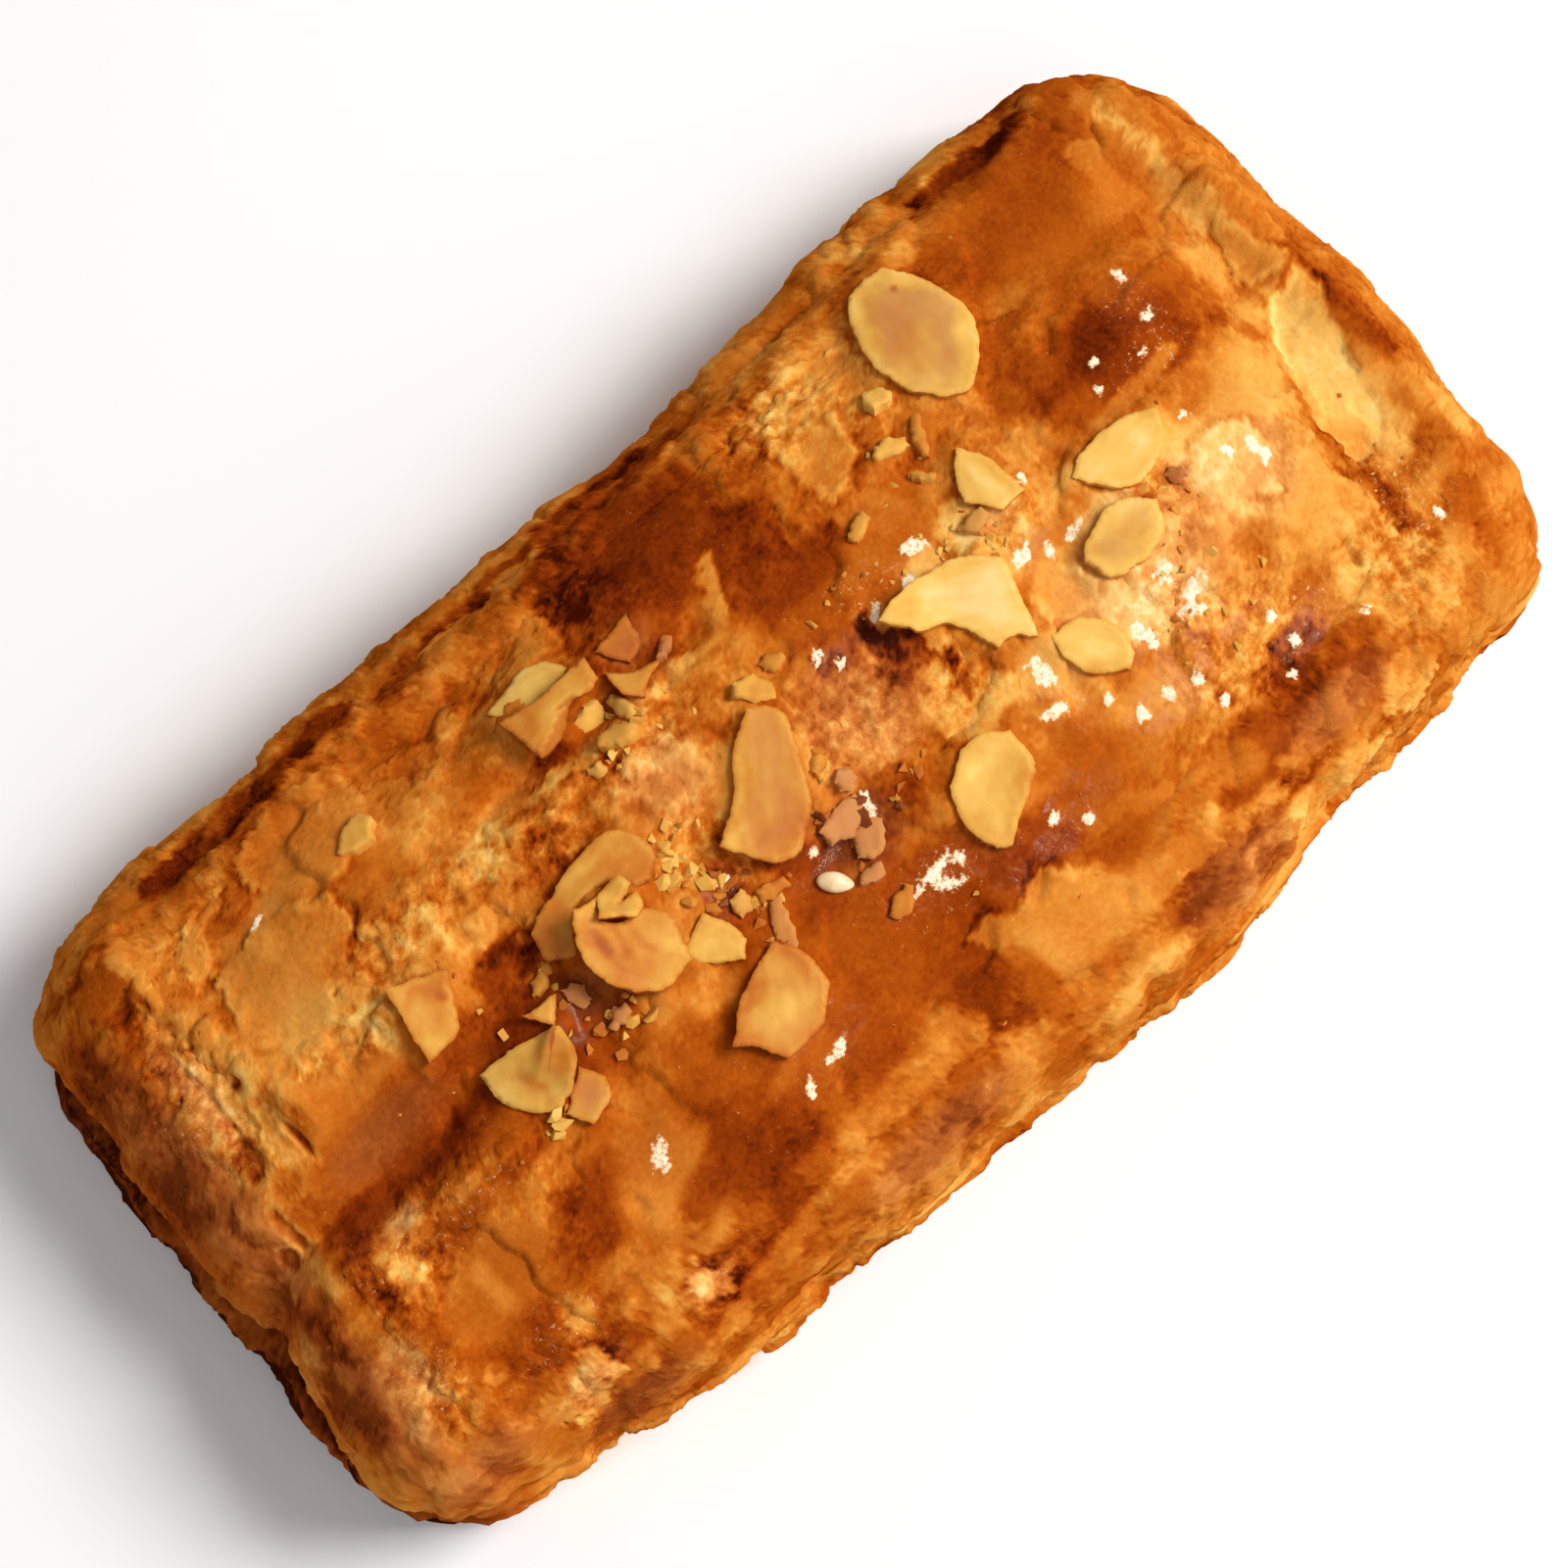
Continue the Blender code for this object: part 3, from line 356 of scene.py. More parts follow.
# Small burst blisters: x, y, reach along x, reach along y, depth
PITS = [
    (-51.9, 8.4, 0.8, 1.1, 0.3), (-55.4, 3.2, 1.1, 1.7, 0.3), (-55.7, 8.7, 0.35, 0.4, 0.5),
    (-55.8, 5.5, 0.6, 0.3, 0.5), (-53, 13.4, 0.3, 0.3, 0.4), (-57, -2.4, 0.4, 1.2, 0.5),
    (-51.4, 1.4, 0.3, 2, 0.4), (-56.2, 11, 0.3, 0.3, 0.3), (-41.6, 8.2, 0.35, 0.4, 0.3),
    (-54.6, 6.4, 0.25, 0.3, 0.3), (-50.9, -28.6, 0.3, 0.3, 0.3), (-58.6, -4.2, 0.5, 0.7, 0.4),
]

# Where the dough is a dull, pinkish brown: x, y, reach along x, reach along y
DULL = [
    (-60, 4, 3, 15), (-61, -18, 3, 9), (4.5, -3.6, 5.4, 4.6), (30, -11, 9, 5), (42, -10, 5.5, 4.5),
    (-10.5, 2.6, 4, 3.4), (-46, -2.4, 6, 2), (-57, -18, 1.8, 3), (-58, -27, 5, 2), (-46, -31.6, 6, 1.6),
    (-13, -32.6, 8, 1.8), (35, -29, 6, 2), (20, -33.4, 6, 2.2), (-49.5, -8.6, 2, 1), (-55, 10, 1.5, 6),
    (5, -5.6, 5, 3), (-47, -28, 3, 1.4), (-2, -11, 4, 3), (-5, 13.4, 2.6, 1.6), (31, -6, 4, 1.6),
    (24, 0.6, 2.4, 1.2), (38, -7, 2, 1.6), (-27, -5.4, 3, 2), (-35, -28.6, 2, 1.6),
]
PATCH_WARP = 0.45  # how far noise pulls a patch's edge in and out, as a share of its reach
PATCH_STRENGTH = 0.9
SHEET_STRENGTH = 0.6
PLAIN_TONE = 0.46  # the crust's brightness between the zones
MOTTLING = 0.09  # how far noise moves the brightness, in blots and then in fine stripes
STRIPING = 0.06
CRUMBLE_MOTTLING = 0.20
SIDE_TONE, SIDE_BANDING = 0.50, 0.30
NEAR_END_PAINTED_SHADE, NEAR_FOOT_PAINTED_SHADE = 0.30, 0.16  # painted shade: how much the -X end's sides are darkened, and how much more at its foot and slot
TORN_EDGE_PALER, TORN_EDGE_DARKER = 0.12, 0.16  # a sheet's edge, and the line just outside it
FLAKE_PALER, FLAKE_EDGE_PALER = 0.07, 0.05
WRINKLE_PALER = 0.10
# the pits are darkened inside as painted shade, with a paler rim
PIT_RIM_PALER, PIT_PAINTED_SHADE = 0.12, 0.26
HIGHLIGHT_MARGIN = 0.25  # how far each painted highlight spreads past its measured half length and width

# Streaks of browner and paler crust, some of them painted shade and shadows as marked: from x, y to x, y,
# half width, brightness
STREAKS = [
    # The first two paint shadow round the brown slice, and (10, 1.6) to (13.4, -5.6) paints the shadow under
    # the star slice's raised tip
    (-12, 7, -2, 6.2, 1.1, 0.3), (-0.4, 2.4, 1.2, -6.6, 0.6, 0.34), (-8, 1.6, -11.5, -5, 0.5, 0.36),
    (10, 1.6, 10.8, -1.8, 0.8, -0.15), (10.8, -1.8, 13.4, -5.6, 0.7, -0.05),
    (12.6, -6, 13.2, -8, 0.6, 0.24), (9.6, -3.2, 12, -4.4, 0.8, 0.2), (-51.6, 24, -51.4, 15, 1, 0.52),
    # (-53, -6) on to (-26, -9) paint shade in the valley between the lobes
    (-51.4, 15, -50, 6, 1, 0.62), (-50, 22, -46, 21, 0.4, 0.62), (-53, -6, -36, -6.5, 1.6, 0.12),
    (-36, -6.5, -30, -2, 2, 0.16), (-29, -3, -26, -9, 1.8, 0.22), (-47.5, 5.7, -38, 5.5, 0.4, 0.8),
    (-38, 26.5, -25, 27, 1, 0.14), (-16, 26, 8, 27, 0.8, 0.08), (40, 27, 52, 26.5, 0.8, 0.04),
    (53, 9, 53, 20, 1.4, 0.5), (58, 8, 57.5, 22, 0.6, 0.72), (24, -28.5, 38, -23.5, 1.2, 0.16),
    (-38, -30.5, -22, -28, 1, 0.24), (-5, -20.5, 12, -21.5, 2.4, 0.24), (12, -21.5, 26, -27.5, 1.8, 0.36),
    (-32, -24, -20, -19, 1.6, 0.2), (60, 2, 60.5, -10, 1, 0.24), (49.5, -15, 51.5, -24, 0.8, 0.24),
    (-20, 9, -2, 8.8, 0.5, 0.7), (-60, -24, -50, -30, 1.2, 0.3), (14, 12, 17.6, 5.6, 1.4, 0.42),
    (13, -12.6, 15, -16, 0.8, 0.4), (36, 0.5, 45, 1.5, 0.8, 0.5), (-24, -17, -10, -24, 1.6, 0.3),
    (26, 27, 30, 24, 1, 0.44), (35, 12, 52, 12, 1.2, 0.34), (-20, 3.4, -14, 5.6, 0.6, 0.56),
    # (-63.5, 20) to (-64, -5) darkens the -X end, partly as painted shade
    (1, 8, 4, 14, 0.7, 0.6), (-63.5, 20, -64, -5, 1.6, 0.22),
]

# Painted highlights: patches of whitened glaze, a little raised, painted where the wet glaze glints: x, y,
# length, width, heading
PAINTED_HIGHLIGHTS = [
    (-31.4, -19.1, 2.4, 1, 65), (-42.4, 17.3, 1.2, 0.2, 25), (-15, -22.3, 2.4, 0.7, 10),
    (-18.8, -23, 1.4, 0.5, 50), (0.6, -17.3, 4.6, 0.6, 5), (0.4, -18.6, 2.4, 0.5, -20),
    (2.8, -17.6, 1.2, 0.7, 0), (18, -11.3, 1.2, 2.2, -10), (16.9, -14.4, 2.4, 0.9, -15),
    (26.5, -14.6, 1.2, 3, 10), (22.1, -19.2, 1, 1.2, 0), (24.8, -19.6, 1.1, 1, 30),
    (27.4, -20.2, 1.6, 0.7, 40), (28, -22.8, 1, 0.6, 0), (28, 1.6, 1, 0.6, 30),
    (23.4, -3.2, 2.2, 0.9, 20), (28.4, -4.6, 2.6, 0.6, 15), (25.6, -4.4, 1.6, 0.7, 60),
    (44.6, -9.5, 0.9, 3.2, 5), (42.3, -8, 0.7, 1.2, 0), (42, -3.4, 1, 0.5, 0), (46, 5, 0.9, 0.7, 0),
    (43.2, 2.8, 0.8, 0.4, 30), (47, 9.2, 0.5, 1.3, 0), (39.6, 4.8, 1, 0.3, -20), (5.4, 1.9, 1.5, 0.6, 20),
    (6.5, 0.3, 0.5, 0.8, 0), (17.4, 3.4, 2.2, 0.8, -30), (15.2, 1.6, 1.3, 0.5, 10),
    (11.6, 1.6, 0.9, 0.4, 30), (-0.8, -10.2, 1.9, 0.8, -30), (0.3, -9.2, 0.6, 1.4, 0),
    (32.4, -14.4, 2.4, 1, 20), (31.4, -12, 1.8, 0.9, 20), (30.4, -15.6, 1.8, 0.7, -20),
    (35.8, -20.3, 0.7, 0.9, 0), (36.2, -23.1, 0.6, 0.9, 0), (34, -25, 0.5, 0.5, 0),
    (42.4, -24.9, 0.7, 0.5, 0), (52.6, -23.4, 1, 0.5, 40), (10.6, -20.6, 1.1, 0.4, 30),
    (12.8, -22.4, 0.8, 0.4, 0), (-12.7, -6.2, 0.9, 0.7, 0), (31.6, -16.2, 0.7, 0.5, 0),
    (20.6, -16.6, 0.8, 0.5, 0), (-5.8, -9.4, 0.6, 0.5, 0), (38.4, 3, 0.6, 0.5, 0),
]

# Where white grains of dried glaze are scattered: x, y, reach along x, reach along y
GRAINY = [
    (52, -20, 5, 6), (-52, -10, 5, 3), (-57, -18, 3, 5), (44, 2, 5, 3), (-45, -12, 5, 3), (30, -14, 5, 3),
    (-57, 8, 3, 6), (0, -18, 6, 3), (38, -22, 6, 3), (12, 4, 4, 3), (-46, -24, 5, 3), (46, 7, 3, 3),
]
GRAINS = 0.24

# Where the dough is crumbly and rough: x, y, reach along x, reach along y
CRUMBLY = [
    (-35, 8, 6, 3.5), (-41, 4, 3, 2), (-21, 5.5, 6, 4), (-11, 6, 8, 3), (-12, -3, 4, 4), (32, -20, 7, 5),
    (4.4, -3.6, 6, 6), (30, -14, 5, 4), (-49, -9, 4, 2), (-57, -20, 3, 6), (47, -24, 5, 6),
    (-47, -28, 4, 2), (-35, -29, 4, 2), (-55, 10, 3, 9), (-28, 8, 5, 3), (24, 0, 5, 3), (35, -7, 5, 3),
    (12, -7, 4, 4), (-52, -12, 4, 4), (17, 20, 6, 4),
]

# Where the glaze lies smooth over the dough: x, y, reach along x, reach along y
GLAZED = [
    (47, 18, 13, 9), (42, 5, 10, 5.5), (4, 17, 8, 8), (8, 6, 7, 5), (-36, 17, 7, 6), (-44, 13, 6, 6),
    (-44, -4, 12, 4), (-32, -7, 5, 6), (-28, -20, 12, 7), (-6, -19, 14, 8), (14, -19, 9, 6),
    (-10, -13, 8, 4), (56, -8, 4, 9), (58, 5, 2.5, 4), (-48, -18, 6, 5), (17, 6, 5, 4), (48, -4, 5, 4),
    (8, -27, 10, 5), (-44, 0, 8, 3),
]

# Wet glaze, where the light sparkles: x, y, reach along x, reach along y
WET = [
    (18, 2, 5, 2), (24, -3, 4, 2.4), (30, -4.6, 3, 1.2), (18, -13, 2.5, 4), (28, -14, 5, 4),
    (45, -10, 2.5, 4), (26, -19.5, 5, 2.5), (11, -21, 5, 2.4), (1, -17.5, 5, 2), (5, -20, 2, 3),
    (-32, -19, 3, 3), (-16, -21.5, 4, 3), (46, 7, 2.4, 3), (38, -23, 5, 2), (-3, -11, 5, 4),
    (10.5, -1, 2.5, 3), (-13, -7, 2, 3), (33, -18, 4, 2), (5.5, 2, 2.5, 3), (-42, 17.5, 3, 1),
    (-52, -8, 3, 2.5), (-28, -6, 4, 3),
]

# Almond slices: how toasted they are in the middle and at the rim, and how pink in the middle
ALMOND_LOOKS = {
    "almond_round": (0.42, 0.28, 0.65),
    "almond_oval": (0.32, 0.22, 0.45),
    "almond_leaf": (0.14, 0.22, 0),
    "almond_kite": (0.12, 0.24, 0),
    "almond_wedge": (0.2, 0.28, 0),
    "almond_star": (0.04, 0.18, 0),
    "almond_golden": (0.28, 0.34, 0),
    "almond_brown": (0.52, 0.46, 0.35),
    "almond_front": (0.46, 0.58, 0.1),
    "almond_square": (0.16, 0.32, 0),
    "almond_cream": (0.62, 0.48, 0.5),
    "almond_crescent": (0.4, 0.34, 0.1),
    "almond_shard": (0.5, 0.46, 0),
    "almond_stub": (0.5, 0.52, 0),
    "almond_back": (0.2, 0.3, 0),
    "almond_saddle": (0.6, 0.52, 0),
    "almond_tan": (0.84, 0.74, 0.4),
    "almond_grey": (0.44, 0.5, 0.3),
    "almond_curl_band": (0.52, 0.56, 0),
    "almond_curl_cup": (0.56, 0.48, 0),
    "almond_on_curls": (0.42, 0.38, 0),
}
SLICE_THICKNESS = 1.0
SLICE_SEATING = 0.45  # how far the dough rises to the slices, which sank into it in the oven
FLAKE_SPACING = 0.32  # how close the points of slices and chips lie
RIM_ROUND = 0.24  # how far in from its rim a flake is rounded
SLICE_RIM_DROP, CHIP_RIM_DROP = 0.14, 0.2
SLICE_RIM_LIFT = 0.15  # how far the underside rises to the rim
SLICE_WAVE, CHIP_WAVE = 0.05, 0.12
SMOOTHING_ROUNDS = 10
SLICE_MOTTLING, SLICE_GRAIN = 0.11, 0.06
SLICE_RIM_PALER, SLICE_RIM_BROWNER = 0.05, 0.14  # just inside the rim, and on it
SLICE_WOBBLE = 0.16  # how ragged the rim is
SHARP_FROM = math.radians(50)
FACING_UP = 0.4  # faces of a solid whose normal rises by less are its walls or underside
STRAIGHT_ON = math.radians(5)  # corners that turn less than this lie on a straight side
INWARD_SHARES = (0, 0.03, 0.06, 0.1, 0.15, 0.25, 0.4)

# Browner and paler marks on the slices: x, y, reach along x, reach along y, how much more toasted
ALMOND_MARKS = [
    (-6.8, -7.4, 3, 1.2, 0.16), (-4.6, -6, 1, 2, 0.1), (-1.2, 0.2, 0.9, 2.4, 0.12),
    (-9.4, -5, 1.4, 0.8, -0.12), (-31.6, -8.2, 1.6, 3, 0.24), (-34.8, -8.6, 0.5, 3, 0.18),
    (-36.8, -7, 1.4, 3, -0.14), (-36, 3.4, 3, 0.7, 0.16), (-35.6, 2.4, 0.8, 0.6, 0.26),
    (-38.4, -0.6, 1, 1.2, -0.14), (-26.8, -0.8, 1.2, 1.6, 0.14), (-17, -1.2, 0.8, 2, 0.12),
    (-21, 1.8, 4, 0.5, -0.08), (-23.8, -4, 0.4, 2.4, 0.16), (-22.4, -4.4, 0.4, 2.2, 0.14),
    (-21.2, -5.4, 0.4, 2, 0.1), (-20, -8, 1.6, 1, -0.1), (32.4, 21.4, 0.4, 0.4, 0.6),
    (29.6, 18.4, 2, 2.4, 0.1), (33.2, 14.6, 1.6, 1.4, -0.12), (26.6, 2.6, 0.5, 2.4, 0.14),
    (7.6, -13.4, 2.6, 0.7, -0.1), (10.8, -17.6, 1.4, 1.6, 0.1), (39.2, -1.4, 1.2, 0.8, 0.2),
    (13.2, -0.4, 1.4, 1, 0.18), (19.4, -4, 1.6, 1.8, -0.06), (-17.4, -14.8, 2.4, 0.6, 0.16),
    (-13, -16, 0.6, 2.4, 0.12), (-16, -17.2, 2, 1.4, -0.1), (-14.6, -12, 0.7, 0.7, 0.14),
    (-31.2, -10.4, 0.8, 1.8, -0.12), (-34, -12.6, 0.8, 1, 0.1), (28, -6.6, 0.8, 1.2, 0.12),
    (31.6, -8, 1.6, 1.2, 0.1), (21.4, -14.4, 1, 1, 0.12), (-14.6, 14.6, 1.2, 0.8, 0.14),
    (-12.4, 17.8, 1, 0.8, -0.1),
]

# Chips: x, y, length, width, heading in degrees, how toasted and how sodden with glaze they are
CHIPS = {
    "square": (24.2, 14.8, 2.6, 2.5, -18, 0.3, 0),
    "cream": (22.2, 10.9, 3.5, 1.9, 42, 0.35, 0),
    "bow": (24.5, 9.9, 4.4, 1.5, 62, 0.6, 0),
    "strip": (22.2, 7.2, 3, 1.1, -28, 0.5, 0),
    "block": (15.3, 7.4, 2.8, 1.6, 35, 0.5, 0),
    "underlay": (22.4, 1.3, 3, 1.9, -60, 0.42, 0.4),
    "lobe_flake": (-31.8, 16.6, 4, 2.9, 25, 0.42, 0),
    "back_low": (-11, 7.7, 4, 1.8, -35, 0.46, 0),
    "back_bit": (-14, 7, 2, 1.5, 30, 0.36, 0.2),
    "back_orange": (-11.4, 11.2, 3.1, 2.6, 0, 0.34, 0),
    "back_long": (-8.9, 9.5, 3.4, 1.5, 52, 0.32, 0),
    "back_red": (-3.2, 11, 2.9, 1.6, 75, 0.8, 0.5),
    "gold": (-0.5, 3.3, 4, 2.6, 80, 0.44, 0),
    "gold_bit": (2.3, 4, 2.2, 1.5, 0, 0.55, 0),
    "gold_strip": (-0.9, -4.6, 2.2, 1.5, -15, 0.55, 0),
    "wet_left": (-2.4, -9.2, 4.4, 3, -8, 0.56, 0.9),
    "wet_top": (0, -6.9, 2.1, 1.8, 0, 0.58, 0.9),
    "wet_low": (-1.6, -11.8, 4.2, 3, -5, 0.56, 0.8),
    "wet_foot": (-3.6, -14, 2.3, 1.6, 20, 0.66, 0.8),
    "front": (-3.1, -17.2, 3.1, 1.6, 5, 0.62, 0),
    "red_bit": (37.8, -6.9, 2, 1.6, 0, 0.8, 0.4),
    "long": (-11.6, -12.2, 5.2, 1.9, -42, 0.56, 0.5),
    "pale": (-13, -8.8, 2.3, 2, 20, 0.42, 0.3),
    "pointed": (-10.2, -9.4, 3, 1.6, -5, 0.64, 0),
    "by_curl": (-29.1, -2.6, 2.8, 1.2, 20, 0.5, 0),
    "by_curl_tan": (-27.6, -5, 2.6, 2, 70, 0.66, 0.8),
    "under_curl": (-26.3, -9, 2.5, 1.4, -60, 0.6, 0.7),
}
CHIP_SEED = 5
CHIP_HEIGHT = 0.75
CHIP_DEPTH = 0.5
CHIP_CORNERS = 6
CHIP_WOBBLE = 0.24
CHIP_MOTTLING = 0.10
CHIP_GENTLE = 15  # chips' corners that turn less than this, in degrees, are rounded

SEED = (-6.1, -12.5, -51)  # the sesame seed: x, y and heading
SEED_SIZE = (3.1, 1.8, 1.3)
SEED_NARROWING = 0.45
SEED_SEAT = 0.3  # how high its middle lies, as a share of its thickness

# Crumbs: x, y, spread, how many, largest size, how toasted
CRUMB_CLUSTERS = [
    (-15, -3.5, 2.6, 26, 2.2, 0.42), (-14, -0.5, 1.6, 6, 1.5, 0.4), (-29.5, -5, 3, 14, 1.6, 0.52),
    (-26, -8.5, 2.4, 16, 1.9, 0.52), (-36, -11.6, 1, 5, 2, 0.38), (-13, -7, 1.6, 8, 1.8, 0.78),
    (-12, -9.6, 2.4, 14, 1.7, 0.58), (-1.5, -9.5, 2.6, 22, 2.4, 0.84), (-8, 8.5, 3, 14, 1.7, 0.36),
    (3.5, -10.5, 1.6, 6, 1.6, 0.66), (-0.5, -4.6, 1.2, 5, 2, 0.46), (22, -1, 1.6, 8, 1.6, 0.4),
    (-13, 6.5, 1.6, 6, 1, 0.4), (12, 5, 2.6, 7, 1.1, 0.65), (20, 9, 3, 7, 1, 0.5),
    (22.5, 1.5, 2, 8, 1.2, 0.6), (18, 1.5, 2.6, 10, 1.2, 0.35), (37, -7, 3, 12, 1.3, 0.5),
    (33, -11.5, 3, 10, 1.3, 0.45), (31, -18, 4, 16, 1.3, 0.5), (-34, 2, 4, 8, 0.9, 0.55),
    (0, -22, 14, 14, 0.7, 0.6), (-40, -8, 8, 10, 0.8, 0.55), (40, 12, 9, 10, 0.7, 0.6),
    (52, -16, 4, 10, 0.8, 0.5),
]
CRUMB_SEED = 21
CRUMB_CORNERS = 9
CRUMB_SHAPE = (1, 0.75, 0.5)  # length, width and height as shares of the size
CRUMB_SEAT = 0.2
CRUMB_SCATTER = 0.6  # how far crumbs lie from the middle of their cluster, as a share of its spread

# How toasted an almond is to its colour
ALMOND_COLOURS = [
    (0, (245, 209, 138)),
    (0.18, (238, 190, 98)),
    (0.32, (226, 172, 80)),
    (0.46, (213, 151, 64)),
    (0.6, (202, 125, 46)),
    (0.74, (186, 102, 38)),
    (0.88, (154, 78, 34)),
    (1, (108, 54, 28)),
]
ALMOND_PINK = (200, 134, 82)

# Brightness of the crust to its colour, as the photo's own colours run from dark to pale
CRUST_COLOURS = [
    (0, (66, 17, 3)),
    (0.1, (111, 38, 6)),
    (0.22, (149, 60, 9)),
    (0.36, (179, 87, 17)),
    (0.5, (201, 115, 36)),
    (0.62, (217, 140, 55)),
    (0.74, (230, 165, 76)),
    (0.86, (240, 188, 98)),
    (1, (250, 212, 132)),
]
DULL_COLOURS = [
    (0, (72, 28, 8)),
    (0.22, (142, 68, 26)),
    (0.45, (188, 108, 50)),
    (0.65, (220, 146, 78)),
    (0.82, (238, 182, 106)),
    (1, (248, 212, 150)),
]
# White of the painted highlights, which the white grains share, and the pale halo painted round them
HIGHLIGHT_AND_GRAIN_COLOUR = (255, 240, 214)
HIGHLIGHT_HALO_COLOUR = (246, 200, 134)
SEED_COLOURS = [(0.3, (232, 196, 140)), (0.7, (252, 232, 196))]


def smooth_step(value, low, high):
    """0 below low and 1 above high, with a smooth rise between."""
    share = np.clip((value - low) / (high - low), 0.0, 1.0)
    return share * share * (3.0 - 2.0 * share)


def mound(distance):
    """1 at distance 0, falling smoothly to nearly 0 at distance 2."""
    return np.exp(-distance * distance)


def apart(x, y, at_x, at_y, reach_x, reach_y):
    """How far points lie from a place, as shares of its reach."""
    return np.hypot((x - at_x) / reach_x, (y - at_y) / reach_y)


def near_any(places, x, y):
    """1 in the middle of any of the places, 0 well outside them all."""
    total = np.zeros(len(x))
    for place in places:
        total = np.maximum(total, mound(apart(x, y, *place) ** 2))
    return total


class Noise:
    """Gradient noise of points in space, from about -1 to 1."""

    def __init__(self, seed):
        draw = np.random.RandomState(seed)
        self.order = draw.permutation(256)
        directions = draw.normal(size=(256, 3))
        self.directions = directions / np.linalg.norm(directions, axis=1)[:, None]

    def at(self, points):
        cell = np.floor(points).astype(int)
        inside = points - cell
        fade = inside**3 * (inside * (inside * 6.0 - 15.0) + 10.0)
        total = np.zeros(len(points))
        for corner in itertools.product((0, 1), repeat=3):
            x, y, z = (cell + corner).T
            chosen = self.order[(self.order[(self.order[x & 255] + y) & 255] + z) & 255]
            along = (self.directions[chosen] * (inside - corner)).sum(axis=1)
            share = np.where(np.array(corner), fade, 1.0 - fade).prod(axis=1)
            total += along * share
        return total * NOISE_GAIN

    def layered(self, points, size, octaves, keep=0.5):
        """Noise whose largest lumps are about size across, with finer ones on them."""
        total = np.zeros(len(points))
        for octave in range(octaves):
            total += self.at(points * (2.0**octave / size) + OCTAVE_SHIFT * octave) * keep**octave
        return total


noise = Noise(NOISE_SEED)


# --- The crust's form ---


def rounded_plan(x, y, half_x, half_y, radius):
    """Draws in the corners of a flat rectangle's points. Returns x, y and the outward direction."""
    core_x = np.clip(x, -(half_x - radius), half_x - radius)
    core_y = np.clip(y, -(half_y - radius), half_y - radius)
    off_x, off_y = x - core_x, y - core_y
    length = np.maximum(np.hypot(off_x, off_y), 1e-9)
    drawn_in = np.maximum(abs(off_x), abs(off_y)) / length
    return core_x + off_x * drawn_in, core_y + off_y * drawn_in, off_x / length, off_y / length


def ring_profile(ring):
    """How far out of the flat top's rim a ring lies, how far its turn has dropped, and its share of
    the way down the wall and round the foot."""
    turn = np.clip(ring / TURN_RINGS, 0, 1) * math.pi / 2
    wall = np.clip((ring - TURN_RINGS) / WALL_RINGS, 0, 1)
    foot = np.clip((ring - TURN_RINGS - WALL_RINGS) / FOOT_RINGS, 0, 1) * math.pi / 2
    out = EDGE_ROUND * np.sin(turn) + SIDE_BULGE * np.sin(wall * math.pi)
    return out - FOOT_RADIUS * (1 - np.cos(foot)), EDGE_DROP * (1 - np.cos(turn)), wall, foot


def base_form(x, y, ring):
    """The smooth pillow: x and y on the flat top, and the ring's number out from its rim."""
    half_x, half_y = LENGTH / 2 - EDGE_ROUND, WIDTH / 2 - EDGE_ROUND
    plan_x, plan_y, out_x, out_y = rounded_plan(x, y, half_x, half_y, CORNER_RADIUS - EDGE_ROUND)
    dome = (1 - abs(plan_x / (half_x + 4)) ** 2.6) * (1 - abs(plan_y / (half_y + 5)) ** 2.2)
    rim_height = HEIGHT_AT_EDGE + DOME_RISE * np.clip(dome, 0, 1)
    out, drop, wall, foot = ring_profile(ring)
    wall_top = rim_height - EDGE_DROP
    height = np.where(wall > 0, wall_top + (FOOT_RADIUS - wall_top) * wall, rim_height - drop)
    height = np.where(foot > 0, FOOT_RADIUS * (1 - np.sin(foot)), height)
    out = out + fold_offset(plan_y, height, out_x)
    return np.stack([*true_plan(plan_x + out_x * out, plan_y + out_y * out), height], axis=1)


def true_plan(x, y):
    """Bends the straight sides and ends of the plan as the baked dough has them."""
    share_x, share_y = x / (LENGTH / 2), y / (WIDTH / 2)
    front = FRONT_BOW * np.clip(1 - ((x - FRONT_BOW_AT_X) / (LENGTH / 2)) ** 2, 0, 1)
    back = BACK_WAIST * (1 - share_x**2)
    far_end = FAR_END_BOW * smooth_step(share_x, 0, 1) * (1 - share_y**2)
    near_end = NEAR_END_SKEW * smooth_step(-share_x, 0, 1) * y
    bent_x = x + far_end + near_end
    bent_y = y - front * smooth_step(-share_y, 0, 1) - back * smooth_step(share_y, 0, 1)
    for at_x, at_y, reach, shift_x, shift_y in PLAN_SHIFTS.values():
        near = mound(np.hypot(x - at_x, y - at_y) / reach)
        bent_x, bent_y = bent_x + shift_x * near, bent_y + shift_y * near
    return bent_x, bent_y


def fold_offset(y, height, out_x):
    """The slot between the roll of the -X end and the bottom sheet, and the sheet's lip."""
    across = smooth_step(y, FOLD_FROM_Y, FOLD_FROM_Y + 5) * (1 - smooth_step(y, FOLD_TO_Y - 4, FOLD_TO_Y))
    facing = smooth_step(-out_x, 0.75, 0.98) * across
    slot = np.clip(1 - ((height - FOLD_HEIGHT) / FOLD_HALF_GAP) ** 4, 0, 1)
    lip = 1 - smooth_step(height, FOLD_HEIGHT - FOLD_HALF_GAP - 1.5, FOLD_HEIGHT)
    return facing * (FOLD_LIP * lip - FOLD_DEPTH * slot * (1 - lip))


def segment_distance(x, y, from_x, from_y, to_x, to_y):
    along_x, along_y = to_x - from_x, to_y - from_y
    share = ((x - from_x) * along_x + (y - from_y) * along_y) / (along_x**2 + along_y**2)
    share = np.clip(share, 0, 1)
    return np.hypot(x - from_x - share * along_x, y - from_y - share * along_y)


